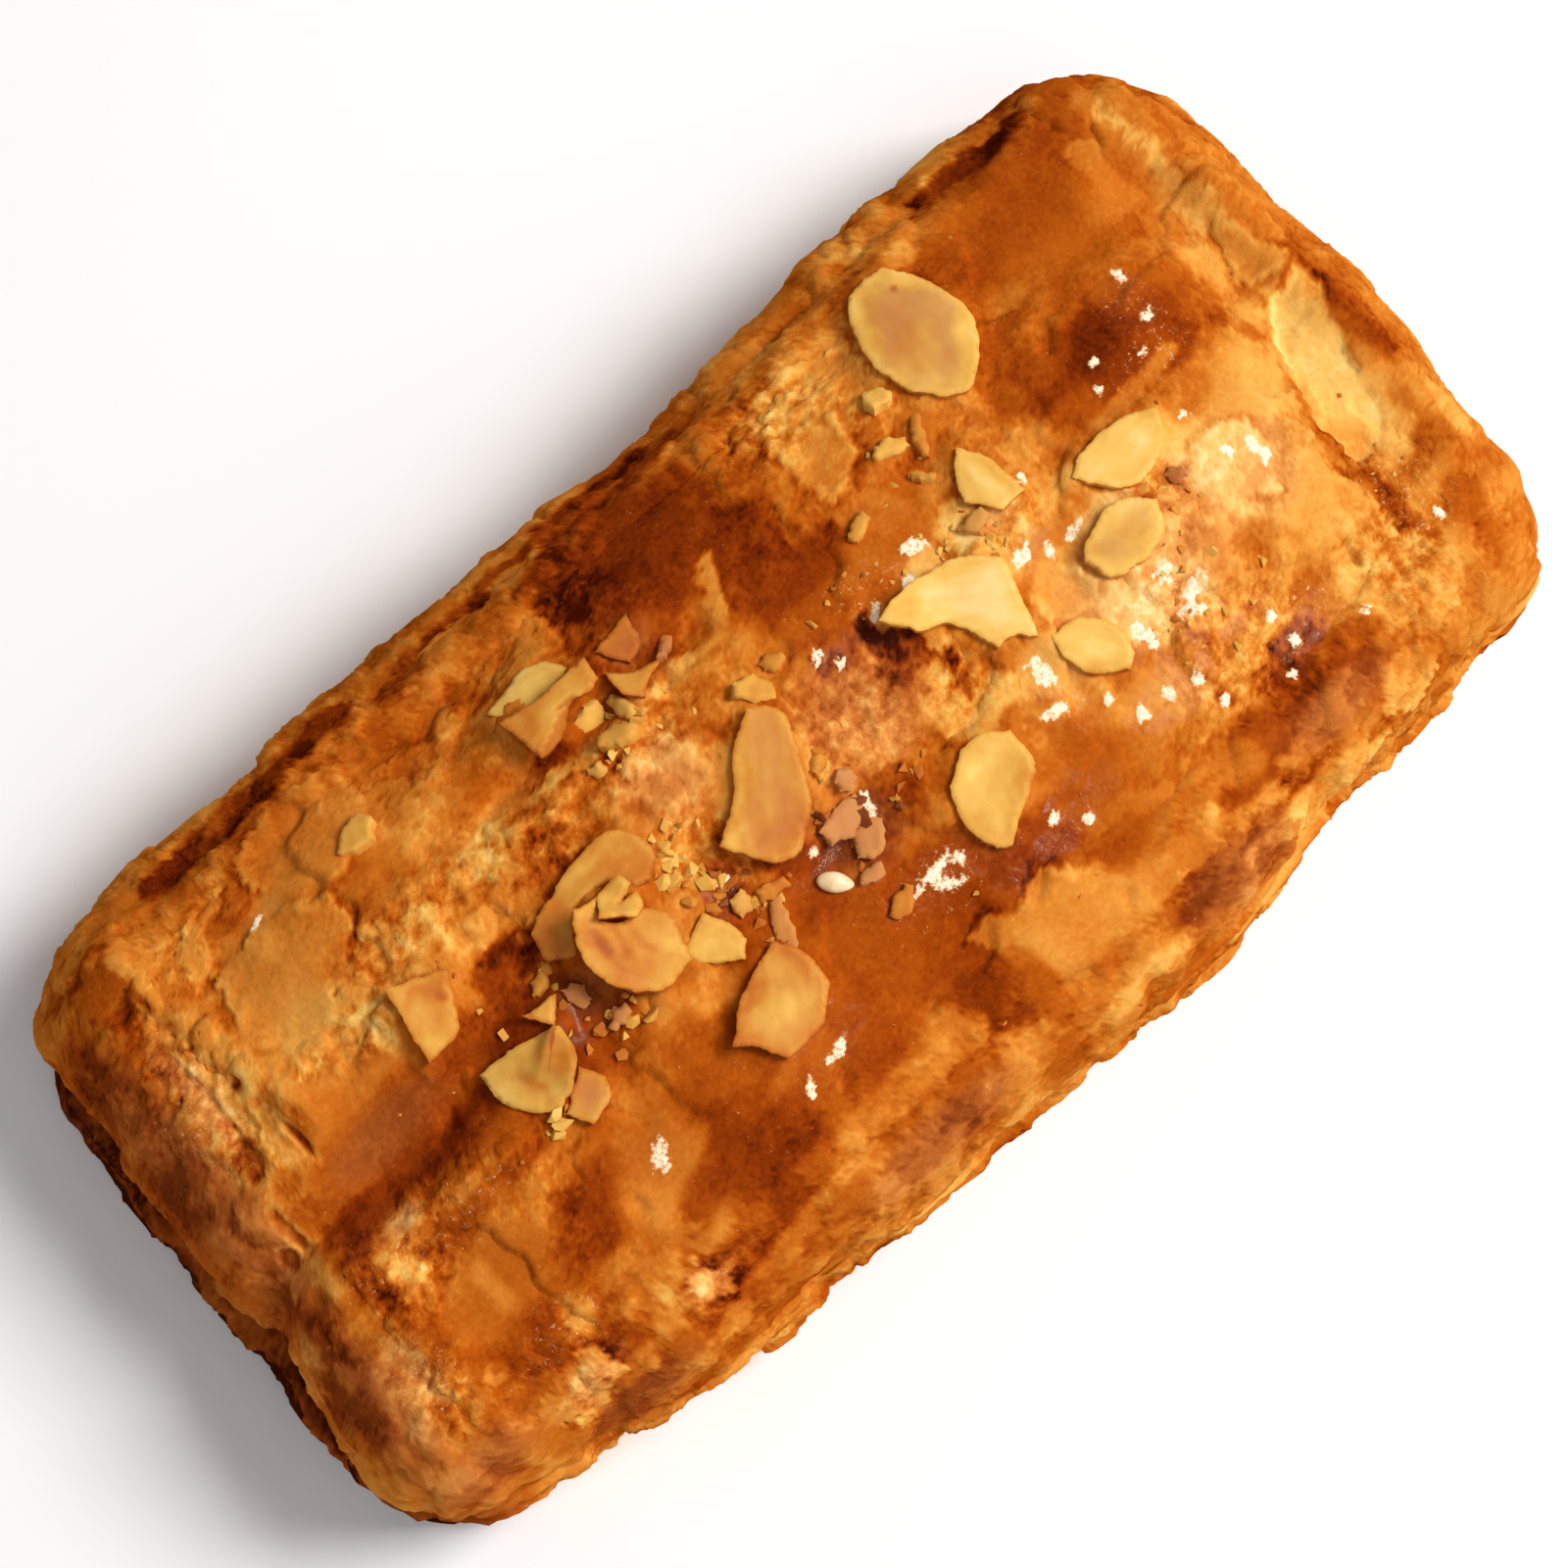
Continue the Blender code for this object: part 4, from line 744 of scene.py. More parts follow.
def outline_depth(x, y, outline):
    """How far inside a closed outline each point lies, negative outside it."""
    away = np.full(len(x), np.inf)
    inside = np.zeros(len(x), bool)
    for (from_x, from_y), (to_x, to_y) in zip(outline, outline[1:] + outline[:1]):
        away = np.minimum(away, segment_distance(x, y, from_x, from_y, to_x, to_y))
        spans = (from_y > y) != (to_y > y)
        rise = to_y - from_y if to_y != from_y else 1e-9
        inside ^= spans & (x < (to_x - from_x) * (y - from_y) / rise + from_x)
    return np.where(inside, away, -away)


def share_on_top(z):
    return smooth_step(z, 9, 19)


def coarse_relief(points):
    """How far the crust stands out of the smooth pillow, as on the solid."""
    x, y, z = points.T
    on_top = share_on_top(z)
    raised = np.zeros(len(points))
    for *place, height in SWELLINGS.values():
        raised += height * on_top * mound(apart(x, y, *place))
    wander = FOLD_WANDER * noise.layered(points, 9, 2)
    for *ends, half_width, height in FOLDS.values():
        away = segment_distance(x, y + wander, *ends)
        raised += height * on_top * mound(away / half_width)
    for at_x, at_y, at_z, radius, depth in BURST_BLISTERS.values():
        away = np.sqrt((x - at_x) ** 2 + (y - at_y) ** 2 + (z - at_z) ** 2)
        raised -= depth * mound((away / radius) ** 2)
    raised += LUMP_HEIGHT * noise.layered(points, 14, 3, 0.4)
    flaked = noise.layered(points * (1, 1, 0.4) + 40, 11, 3)
    raised += COARSE_FLAKE_HEIGHT * (smooth_step(flaked, -0.05, 0.05) - 0.5)
    sheets = noise.layered(points * (0.12, 0.12, 1.0) + 90, 4.0, 2)
    raised += SIDE_SHEET_HEIGHT * (1 - on_top) * sheets
    return raised * smooth_step(z, 0.3, 4.0)


class Crust:
    """The crust's fine mesh, and the brightness, roughness and wetness of each of its points."""

    def __init__(self, slice_outlines):
        flat, self.quads, self.top_quads, self.last_ring = pillow_grid()
        smooth = base_form(*flat.T)
        normals = vertex_normals(smooth, self.quads)
        self.points = smooth + normals * coarse_relief(smooth)[:, None]
        self.plan = self.points.copy()
        x, y, z = self.points.T
        self.on_top = share_on_top(z)
        self.crumbly = near_any(CRUMBLY, x, y) * self.on_top
        self.wet = near_any(WET, x, y) * self.on_top
        self.glazed = near_any(GLAZED, x, y) * self.on_top * (1 - self.crumbly)
        # Painted shade: the -X end's wall is made duller and browner, as in shade
        end_wall_painted_shade = 0.7 * smooth_step(-x, 56, 62) * (1 - self.on_top)
        self.dull_and_end_shade = near_any(DULL, x + 0.8 * self.lumps(0, 3, 3), y) * self.on_top + end_wall_painted_shade
        self.tone = self.base_tone()
        # painted highlights where the wet glaze glints, and white grains
        self.highlights_and_grains = self.white_highlights_and_grains()
        lift = self.torn_sheets() + self.fine_relief() + HIGHLIGHT_RELIEF_HEIGHT * self.highlights_and_grains
        for outline in slice_outlines:
            lift += SLICE_SEATING * smooth_step(outline_depth(x, y, outline), -1.8, -0.3)
        normals = vertex_normals(self.points, self.quads)
        lift *= smooth_step(z, 0.3, 3.0)
        self.points += normals * lift[:, None]
        self.points[self.points[:, 2] < 0.05, 2] = 0.0

    def lumps(self, shift, size, octaves, keep=0.5, stretch=(1, 1, 1)):
        """Noise at the crust's points. Each shift gives lumps of their own."""
        return noise.layered(self.plan * stretch + shift, size, octaves, keep)

    def base_tone(self):
        """Mottled brown, then the named patches and streaks over it."""
        x, y, z = self.plan.T
        ragged = self.lumps(60, 3.2, 4, 0.7)
        tone = np.full(len(x), PLAIN_TONE)
        for *place, target in ZONES:
            tone += (target - tone) * (1 - smooth_step(apart(x, y, *place) + 0.3 * ragged, 0.6, 1.3))
        uneven = 1 - 0.6 * self.glazed
        tone += MOTTLING * uneven * self.lumps(200, 8, 4, 0.6)
        tone += STRIPING * uneven * self.lumps(220, 1.8, 3, 0.6, (1, 0.22, 1))
        soft = 0.3 * self.glazed
        for *place, target in itertools.chain(*PATCHES.values()):
            away = apart(x, y, *place) + PATCH_WARP * ragged * uneven
            cover = 1 - smooth_step(away, 0.8 - soft, 1.25 + soft)
            tone += (target - tone) * PATCH_STRENGTH * cover * self.on_top
        for *ends, half_width, target in STREAKS:
            away = segment_distance(x + ragged, y + 0.6 * ragged, *ends) / half_width
            tone += (target - tone) * PATCH_STRENGTH * (1 - smooth_step(away, 0.6, 1.3)) * self.on_top
        layers = self.lumps(300, 2.6, 3, 0.6, (0.1, 0.1, 1.3))
        # Painted shade: the -X end's sides are darkened, and more at the foot, where the slot lies
        end_painted_shade = NEAR_END_PAINTED_SHADE + NEAR_FOOT_PAINTED_SHADE * smooth_step(-z, -10, -4)
        side_tone = SIDE_TONE + SIDE_BANDING * layers - end_painted_shade * smooth_step(-x, 52, 63)
        return tone + (side_tone - tone) * (1 - smooth_step(z, 8, 15))

    def torn_sheets(self):
        """The outlined sheets: raised or sunk, with a pale torn edge and a dark line outside it."""
        x, y, _ = self.plan.T
        ragged = 0.6 * self.lumps(130, 2.4, 5, 0.7)
        shown = smooth_step(self.lumps(140, 6, 3), -0.35, 0.25)
        lift = np.zeros(len(x))
        for target, height, outline in SHEETS.values():
            depth = outline_depth(x, y, outline) + ragged
            cover = smooth_step(depth, -0.15, 0.15)
            lift += height * cover * (0.4 + 0.6 * shown) * (1 - 0.5 * smooth_step(depth, 0.5, 4))
            self.tone += (target - self.tone) * SHEET_STRENGTH * cover
            edge, outside = mound((depth - 0.3) / 0.3), mound((depth + 0.4) / 0.35)
            self.tone += shown * (TORN_EDGE_PALER * edge - TORN_EDGE_DARKER * outside)
        return lift

    def white_highlights_and_grains(self):
        """1 at the painted highlights, white where the wet glaze glints, and part way up among the white
        grains, with ragged edges.
        """
        x, y, _ = self.plan.T
        ragged = 0.5 * self.lumps(800, 1.1, 3, 0.7)
        white_cover = GRAINS * near_any(GRAINY, x, y)
        for at_x, at_y, length, width, heading in PAINTED_HIGHLIGHTS:
            turn = math.radians(heading)
            along = (x - at_x) * math.cos(turn) + (y - at_y) * math.sin(turn)
            aside = (y - at_y) * math.cos(turn) - (x - at_x) * math.sin(turn)
            away = apart(along, aside, 0, 0, length / 2 + HIGHLIGHT_MARGIN, width / 2 + HIGHLIGHT_MARGIN) + ragged
            white_cover = np.maximum(white_cover, 1 - smooth_step(away, 0.7, 1.15))
        return white_cover * self.on_top

    def fine_relief(self):
        """Flakes, wrinkles, grain and pits finer than the solid's."""
        x, y, _ = self.plan.T
        rough = self.lumps(400, 6.5, 5, 0.62, (1, 1, 0.5))
        lift = np.zeros(len(rough))
        flaky = 1 - 0.7 * self.glazed
        for level in FLAKE_LEVELS:
            step = smooth_step(rough, level - 0.02, level + 0.02)
            edge = mound((rough - level - 0.03) / 0.03) - 1.2 * mound((rough - level + 0.03) / 0.03)
            lift += FLAKE_HEIGHT * flaky * step
            self.tone += flaky * (FLAKE_PALER * (step - 0.5) + FLAKE_EDGE_PALER * edge)
        lift += CRUMBLE_HEIGHT * self.crumbly * self.lumps(500, 1.6, 3, 0.7)
        self.tone += CRUMBLE_MOTTLING * self.crumbly * self.lumps(520, 1.3, 2, 0.7)
        wrinkles = np.clip(1 - abs(self.lumps(560, 2.6, 3, 0.6)) * 3, 0, 1)
        lift += WRINKLE_HEIGHT * self.crumbly * wrinkles
        self.tone += WRINKLE_PALER * self.crumbly * wrinkles
        lift += GRAIN_HEIGHT * flaky * self.lumps(600, 1.8, 2)
        for *place, depth in PITS:
            away = apart(x, y, *place) + 0.8 * rough
            hole = 1 - smooth_step(away, 0.6, 1.3)
            lift -= depth * hole
            # painted shade darkens each pit, inside a paler rim
            self.tone += PIT_RIM_PALER * mound((away - 1.4) / 0.3) - PIT_PAINTED_SHADE * hole
        lift *= 1 - 0.8 * self.wet
        sheets = self.lumps(700, 1.7, 4, 0.65, (0.1, 0.1, 1))
        side = 1 - self.on_top
        layers = smooth_step(sheets, -0.1, 0.1) + smooth_step(sheets, 0.25, 0.35) - 1.8
        lift += SIDE_LAYER_HEIGHT * side * layers
        return lift


def pillow_grid():
    """Flat places (x, y, ring number) and quads: a gridded top, then rings out from its rim."""
    half_x, half_y = LENGTH / 2 - EDGE_ROUND, WIDTH / 2 - EDGE_ROUND
    turn = math.pi / 2 * CROWDING
    across = half_x * np.sin(np.linspace(-1, 1, COLUMNS + 1) * turn) / math.sin(turn)
    up = half_y * np.sin(np.linspace(-1, 1, ROWS + 1) * turn) / math.sin(turn)
    x, y = np.meshgrid(across, up)
    index = np.arange(x.size).reshape(x.shape)
    top = np.stack([index[:-1, :-1], index[:-1, 1:], index[1:, 1:], index[1:, :-1]], axis=-1)
    rim = np.concatenate([index[0, :-1], index[:-1, -1], index[-1, :0:-1], index[:0:-1, 0]])
    flat = [np.stack([x.ravel(), y.ravel(), np.zeros(x.size)], axis=1)]
    quads = [top.reshape(-1, 4)]
    steps = np.concatenate([
        np.linspace(0, TURN_RINGS, TURN_STEPS + 1)[1:],
        TURN_RINGS + np.linspace(0, WALL_RINGS, WALL_STEPS + 1)[1:],
        TURN_RINGS + WALL_RINGS + np.linspace(0, FOOT_RINGS, FOOT_STEPS + 1)[1:],
    ])
    ring = rim
    for count, step in enumerate(steps):
        outer = x.size + count * len(rim) + np.arange(len(rim))
        flat.append(np.stack([x.ravel()[rim], y.ravel()[rim], np.full(len(rim), step)], axis=1))
        quads.append(np.stack([ring, outer, np.roll(outer, -1), np.roll(ring, -1)], axis=1))
        ring = outer
    top_count = len(quads[0]) + TURN_STEPS * len(rim)
    return np.concatenate(flat), np.concatenate(quads), top_count, ring


def vertex_normals(points, quads):
    first, second, third, fourth = (points[quads[:, corner]] for corner in range(4))
    facing = np.cross(third - first, fourth - second)
    total = np.zeros_like(points)
    for corner in range(4):
        for axis in range(3):
            total[:, axis] += np.bincount(quads[:, corner], facing[:, axis], len(points))
    return total / np.maximum(np.linalg.norm(total, axis=1), 1e-12)[:, None]


# --- Objects ---


def to_object(name, points, faces, material, attributes=None, normals=None):
    """A finished piece: points in millimetres by the tables, faces, and values at its points."""
    used = np.unique(np.concatenate([np.ravel(face) for face in faces]))
    renumber = np.full(len(points), -1)
    renumber[used] = np.arange(len(used))
    mesh = bpy.data.meshes.new(name)
    kept_faces = [renumber[np.asarray(face)].tolist() for face in faces]
    mesh.from_pydata(((points[used] + CENTRE_SHIFT) * MM).tolist(), [], kept_faces)
    for key, values in (attributes or {}).items():
        layer = mesh.attributes.new(key, "FLOAT", "POINT")
        layer.data.foreach_set("value", values[used].astype(np.float32))
    mesh.shade_smooth()
    if normals is not None:
        mesh.normals_split_custom_set_from_vertices(normals[used].tolist())
    mesh.materials.append(material)
    piece = bpy.data.objects.new(name, mesh)
    bpy.context.scene.collection.objects.link(piece)
    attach(piece, "root")
    return piece


class Piles:
    """Gathers several small meshes into one object's points, faces and values."""

    def __init__(self, *keys):
        self.points, self.faces = [], []
        self.values = {key: [] for key in keys}

    def add(self, points, faces, **values):
        start = sum(len(part) for part in self.points)
        self.points.append(np.asarray(points))
        self.faces += [[corner + start for corner in face] for face in faces]
        for key, part in self.values.items():
            part.append(np.broadcast_to(values[key], len(points)))

    def piece(self, name, material):
        values = {key: np.concatenate(part) for key, part in self.values.items()}
        return to_object(name, np.concatenate(self.points), self.faces, material, values)


# --- Flakes of almond ---


def unit(vectors):
    return vectors / np.maximum(np.linalg.norm(vectors, axis=1), 1e-9)[:, None]


def directions_at(corners):
    """The directions in which an outline comes to each corner and leaves it."""
    return unit(corners - np.roll(corners, 1, 0)), unit(np.roll(corners, -1, 0) - corners)


def ragged_outline(corners, wobble, gentle=40):
    """Close points round an outline. Corners that turn less than gentle degrees are rounded."""
    corners = np.array(corners, float)
    arriving, leaving = directions_at(corners)
    turn = np.degrees(np.arccos(np.clip((arriving * leaving).sum(axis=1), -1, 1)))
    soft = (1 - smooth_step(turn, gentle, gentle * 1.5))[:, None]
    through = unit(arriving + leaving)
    dense = []
    for at in range(len(corners)):
        after = (at + 1) % len(corners)
        length = np.linalg.norm(corners[after] - corners[at])
        start = length * (leaving[at] + (through[at] - leaving[at]) * soft[at])
        end = length * (leaving[at] + (through[after] - leaving[at]) * soft[after])
        share = np.linspace(0, 1, max(2, math.ceil(length / FLAKE_SPACING)), endpoint=False)[:, None]
        dense.append(
            (2 * share**3 - 3 * share**2 + 1) * corners[at]
            + (share**3 - 2 * share**2 + share) * start
            + (3 * share**2 - 2 * share**3) * corners[after]
            + (share**3 - share**2) * end
        )
    dense = np.concatenate(dense)
    place = np.column_stack([dense, np.zeros(len(dense))])
    along = unit(np.roll(dense, -1, 0) - np.roll(dense, 1, 0))
    outward = np.column_stack([along[:, 1], -along[:, 0]])
    return dense + outward * wobble * noise.layered(place + 30, 1.6, 4, 0.7)[:, None]


def filled(outline):
    """Points and triangles that fill an outline, and how deep inside it each point lies."""
    low, high = outline.min(axis=0), outline.max(axis=0)
    x, y = np.meshgrid(
        np.arange(low[0], high[0], FLAKE_SPACING), np.arange(low[1], high[1], FLAKE_SPACING * 0.866)
    )
    x[1::2] += FLAKE_SPACING / 2
    inner = np.column_stack([x.ravel(), y.ravel()])
    corners = [tuple(corner) for corner in outline]
    inner = inner[outline_depth(*inner.T, corners) > FLAKE_SPACING * 0.45]
    rim = [(at, (at + 1) % len(outline)) for at in range(len(outline))]
    places = [Vector(place) for place in np.concatenate([outline, inner])]
    made, _, triangles, *_ = delaunay_2d_cdt(places, rim, [], 1, 1e-6)
    points = np.array([(place.x, place.y) for place in made])
    depth = np.maximum(outline_depth(*points.T, corners), 0)
    return points, np.array(triangles), depth


def thickened(points, triangles, top, bottom):
    """A closed sheet between two heights over the same triangles."""
    count = len(points)
    both = np.concatenate([np.column_stack([points, top]), np.column_stack([points, bottom])])
    directed = {(a, b) for tri in triangles.tolist() for a, b in zip(tri, tri[1:] + tri[:1])}
    walls = [(b, a, a + count, b + count) for a, b in directed if (b, a) not in directed]
    return both, triangles.tolist() + (triangles[:, ::-1] + count).tolist() + sorted(walls)


def upper_sheet(node):
    """The upper side of a slice's solid: the corners of its outline, and its surface."""
    sheet = bmesh.new()
    sheet.from_mesh(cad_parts[node].data)
    bmesh.ops.remove_doubles(sheet, verts=sheet.verts, dist=1e-6)
    bmesh.ops.scale(sheet, vec=(1 / MM, 1 / MM, 1 / MM), verts=sheet.verts)
    bmesh.ops.translate(sheet, vec=-CENTRE_SHIFT, verts=sheet.verts)
    sheet.normal_update()
    under = [face for face in sheet.faces if face.normal.z < FACING_UP]
    bmesh.ops.delete(sheet, geom=under, context="FACES")
    sheet.verts.index_update()
    after = {}
    for edge in sheet.edges:
        if edge.is_boundary:
            loop = edge.link_loops[0]
            after[loop.vert.index] = (loop.link_loop_next.vert.index, loop.vert.co.xy.copy())
    at = min(after)
    corners = []
    for _ in range(len(after)):
        at, place = after[at]
        corners.append(place)
    corners = np.array(corners)
    arriving, leaving = directions_at(corners)
    kept = (arriving * leaving).sum(axis=1) < math.cos(STRAIGHT_ON)
    surface = BVHTree.FromBMesh(sheet)
    sheet.free()
    return corners[kept], surface


def dropped_on(surface, x, y):
    """Where a plumb line first meets a surface, and the surface's normal there."""
    return surface.ray_cast(Vector((x, y, ABOVE_ALL)), Vector((0, 0, -1)))[:2]


def height_on(surface, x, y, middle):
    """The surface's height at a place, or just inside its edge where the place lies beyond it."""
    for inward in INWARD_SHARES:
        hit, _ = dropped_on(surface, x + (middle[0] - x) * inward, y + (middle[1] - y) * inward)
        if hit:
            return hit.z
    return surface.find_nearest(Vector((x, y, 0)))[0].z


def smoothed(values, triangles, rounds):
    """Evens values out over a triangle mesh."""
    ends = np.concatenate([triangles[:, [0, 1]], triangles[:, [1, 2]], triangles[:, [2, 0]]])
    ends = np.concatenate([ends, ends[:, ::-1]])
    count = np.maximum(np.bincount(ends[:, 0], minlength=len(values)), 1)
    for _ in range(rounds):
        values = 0.4 * values + 0.6 * np.bincount(ends[:, 0], values[ends[:, 1]], len(values)) / count
    return values


def almond_piece(node, corners, surface, material):
    """One slice: its solid's outline and height, with a ragged rim, grain and browning."""
    toast_middle, toast_rim, pink = ALMOND_LOOKS[node]
    spokes = corners - corners.mean(axis=0)
    longest = spokes[np.argmax(np.linalg.norm(spokes, axis=1))]
    turned = np.array(Matrix.Rotation(math.atan2(longest[1], longest[0]), 3, "Z"))
    points, triangles, depth = filled(ragged_outline(corners, SLICE_WOBBLE))
    middle = points.mean(axis=0)
    top = np.array([height_on(surface, x, y, middle) for x, y in points])
    plan = np.column_stack([points, np.ones(len(points))])
    level = plan @ np.linalg.lstsq(plan, top, rcond=None)[0]
    top = level + smoothed(top - level, triangles, SMOOTHING_ROUNDS)
    place = np.column_stack([points, np.full(len(points), 5.0 * len(corners))])
    rounding = np.clip(1 - depth / RIM_ROUND, 0, 1) ** 2
    wave = SLICE_WAVE * noise.layered(place, 2.4, 3) * (1 - rounding)
    upper = top - SLICE_RIM_DROP * rounding + wave
    lower = top - SLICE_THICKNESS + SLICE_RIM_LIFT * rounding
    both, faces = thickened(points, triangles, upper, lower)
    inside = smooth_step(depth, 0.3, 2.2)
    mottled = SLICE_MOTTLING * noise.layered(place + 9, 3.4, 4)
    toast = toast_rim + (toast_middle - toast_rim) * inside + mottled
    grain = noise.layered(place @ turned * (0.25, 1, 1), 1.0, 3, 0.6)
    paler, browner = mound((depth - 0.25) / 0.2), mound(depth / 0.12)
    toast += SLICE_GRAIN * grain - SLICE_RIM_PALER * paler + SLICE_RIM_BROWNER * browner
    uneven = points + 0.6 * np.column_stack([noise.layered(place + shift, 2.2, 3) for shift in (60, 80)])
    for *place_of_mark, change in ALMOND_MARKS:
        toast += change * mound(apart(*uneven.T, *place_of_mark) ** 1.5)
    redder = pink * smooth_step(depth + 1.6 * noise.layered(place + 5, 5, 3), 0.6, 2.2)
    redder *= 1 - 0.5 * smooth_step(noise.layered(place + 15, 4, 3), -0.1, 0.5)
    piece = to_object(node + "_slice", both, faces, material, {
        "toast": np.concatenate([toast, toast + 0.08]),
        "pink": np.concatenate([redder, redder]),
    })
    piece.data.set_sharp_from_angle(angle=SHARP_FROM)
    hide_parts(node)


def chips_piece(ground, material):
    """The broken chips, each an uneven plate with its foot sunk in the crust."""
    draw = np.random.RandomState(CHIP_SEED)
    pile = Piles("toast", "pink")
    for x, y, length, width, heading, toast, sodden in CHIPS.values():
        spot, normal = dropped_on(ground, x, y)
        turn = Matrix.Rotation(math.radians(heading), 3, "Z")
        upright = np.array(normal.to_track_quat("Z", "Y").to_matrix() @ turn)
        corners = []
        for corner in range(CHIP_CORNERS):
            angle = 2 * math.pi * (corner + 0.5) / CHIP_CORNERS
            reach = draw.uniform(0.85, 1.15)
            corners.append((length / 2 * math.cos(angle) * reach, width / 2 * math.sin(angle) * reach))
        corners = np.array(corners) + (x, y)
        points, triangles, depth = filled(ragged_outline(corners, CHIP_WOBBLE, CHIP_GENTLE))
        place = np.column_stack([points, np.zeros(len(points))])
        points = points - (x, y)
        rounding = np.clip(1 - depth / RIM_ROUND, 0, 1) ** 2
        top = CHIP_HEIGHT - CHIP_RIM_DROP * rounding + CHIP_WAVE * noise.layered(place, 1.8, 3)
        both, faces = thickened(points, triangles, top, np.full(len(points), -CHIP_DEPTH))
        tint = toast + CHIP_MOTTLING * noise.layered(place + 70, 1.6, 3)
        tint = np.concatenate([tint, tint + 0.1])
        pile.add(both @ upright.T + np.array(spot), faces, toast=tint, pink=sodden)
    piece = pile.piece("almond_chips", material)
    piece.data.set_sharp_from_angle(angle=SHARP_FROM)
    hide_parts("pastry")


def taken_apart(shape):
    """The points and faces of a bmesh, which is then freed."""
    shape.verts.index_update()
    points = np.array([vertex.co for vertex in shape.verts])
    faces = [[vertex.index for vertex in face.verts] for face in shape.faces]
    shape.free()
    return points, faces


def crumbs_piece(ground, slice_tops, material):
    """Loose crumbs of almond and crust, in clusters by the slices and clear of them."""
    draw = np.random.RandomState(CRUMB_SEED)
    pile = Piles("toast", "pink")
    for at_x, at_y, spread, count, largest, toast in CRUMB_CLUSTERS:
        for _ in range(count):
            x, y = (draw.normal(middle, spread * CRUMB_SCATTER) for middle in (at_x, at_y))
            size = largest * draw.uniform(0.3, 1.0) * np.array(CRUMB_SHAPE) * draw.uniform(0.8, 1.2, 3)
            hit, _ = dropped_on(ground, x, y)
            covered = any(dropped_on(top, x, y)[0] for top in slice_tops)
            corners = unit(draw.normal(size=(CRUMB_CORNERS, 3))) * size / 2
            turn = np.array(Matrix.Rotation(draw.uniform(0, math.tau), 3, "Z"))
            tint = toast + draw.uniform(-0.22, 0.18)
            if hit is None or covered:
                continue
            crumb = bmesh.new()
            for corner in corners @ turn.T:
                crumb.verts.new(corner)
            bmesh.ops.convex_hull(crumb, input=crumb.verts)
            points, faces = taken_apart(crumb)
            pile.add(points + (x, y, hit.z + CRUMB_SEAT * size[2]), faces, toast=tint, pink=0.0)
    piece = pile.piece("crumbs", material)
    piece.data.shade_flat()


def seed_piece(ground):
    """The sesame seed: an egg, flattened, with its narrow end along its heading."""
    x, y, heading = SEED
    seed = bmesh.new()
    bmesh.ops.create_uvsphere(seed, u_segments=32, v_segments=24, radius=0.5)
    points, faces = taken_apart(seed)
    narrowing = 1 - SEED_NARROWING * smooth_step(points[:, :1], -0.1, 0.9)
    points = points * (1, narrowing[0, 0], 1)
    points[:, 1:] *= narrowing
    points = points * SEED_SIZE @ np.array(Matrix.Rotation(math.radians(heading), 3, "Z")).T
    rest = dropped_on(ground, x, y)[0].z + SEED_SIZE[2] * SEED_SEAT
    piece = to_object("sesame", points + (x, y, rest), faces, seed_material())
    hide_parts("pastry")


# --- Materials ---


def linear(colour):
    """An 8-bit colour as the renderer's linear one, opaque."""
    shares = [value / 255 for value in colour]
    return *[((part + 0.055) / 1.055) ** 2.4 if part > 0.04 else part / 12.92 for part in shares], 1.0


class Nodes:
    """A short way to write a material's nodes."""

    def __init__(self, name):
        self.material = bpy.data.materials.new(name)
        self.material.use_nodes = True
        self.tree = self.material.node_tree
        self.shader = self.tree.nodes["Principled BSDF"]
        self.place = self.tree.nodes.new("ShaderNodeTexCoord").outputs["Object"]

    def feed(self, value, socket):
        """Gives a socket another node's output, or a plain value."""
        if isinstance(value, bpy.types.NodeSocket):
            self.tree.links.new(value, socket)
        else:
            socket.default_value = value

    def node(self, kind, inputs=None, **settings):
        made = self.tree.nodes.new(kind)
        for name, value in settings.items():
            setattr(made, name, value)
        for name, value in (inputs or {}).items():
            self.feed(value, made.inputs[name])
        return made

    def dressed(self, inputs):
        """The material, with its shader's inputs set by name."""
        for name, value in inputs.items():
            self.feed(value, self.shader.inputs[name])
        return self.material

    def attribute(self, name):
        return self.node("ShaderNodeAttribute", attribute_name=name).outputs["Fac"]

    def speckle(self, size_mm, detail, roughness=0.6):
        """Noise from 0 to 1 whose lumps are about size_mm across."""
        inputs = {"Vector": self.place, "Scale": 1 / (size_mm * MM), "Detail": detail, "Roughness": roughness}
        return self.node("ShaderNodeTexNoise", inputs).outputs["Fac"]

    def math(self, operation, *values):
        return self.node("ShaderNodeMath", dict(enumerate(values)), operation=operation).outputs[0]

    def varied(self, value, speckle, amount):
        """The value, moved up and down by a speckle."""
        return self.math("ADD", value, self.math("MULTIPLY", self.math("SUBTRACT", speckle, 0.5), amount))

    def steps(self, value, low, high):
        """0 below low and 1 above high."""
        inputs = {"Value": value, "From Min": low, "From Max": high}
        return self.node("ShaderNodeMapRange", inputs).outputs["Result"]

    def ramp(self, factor, stops):
        node = self.node("ShaderNodeValToRGB", {"Fac": factor})
        elements = node.color_ramp.elements
        while len(elements) < len(stops):
            elements.new(0.5)
        for element, (place, colour) in zip(elements, stops):
            element.position = place
            element.color = linear(colour)
        return node.outputs["Color"]

    def mix(self, share, colour, other):
        """The colour, turned by a share into another."""
        return self.node("ShaderNodeMix", {0: share, 6: colour, 7: other}, data_type="RGBA").outputs[2]

    def bump(self, height, strength, depth_mm):
        inputs = {"Height": height, "Strength": strength, "Distance": depth_mm * MM}
        return self.node("ShaderNodeBump", inputs)


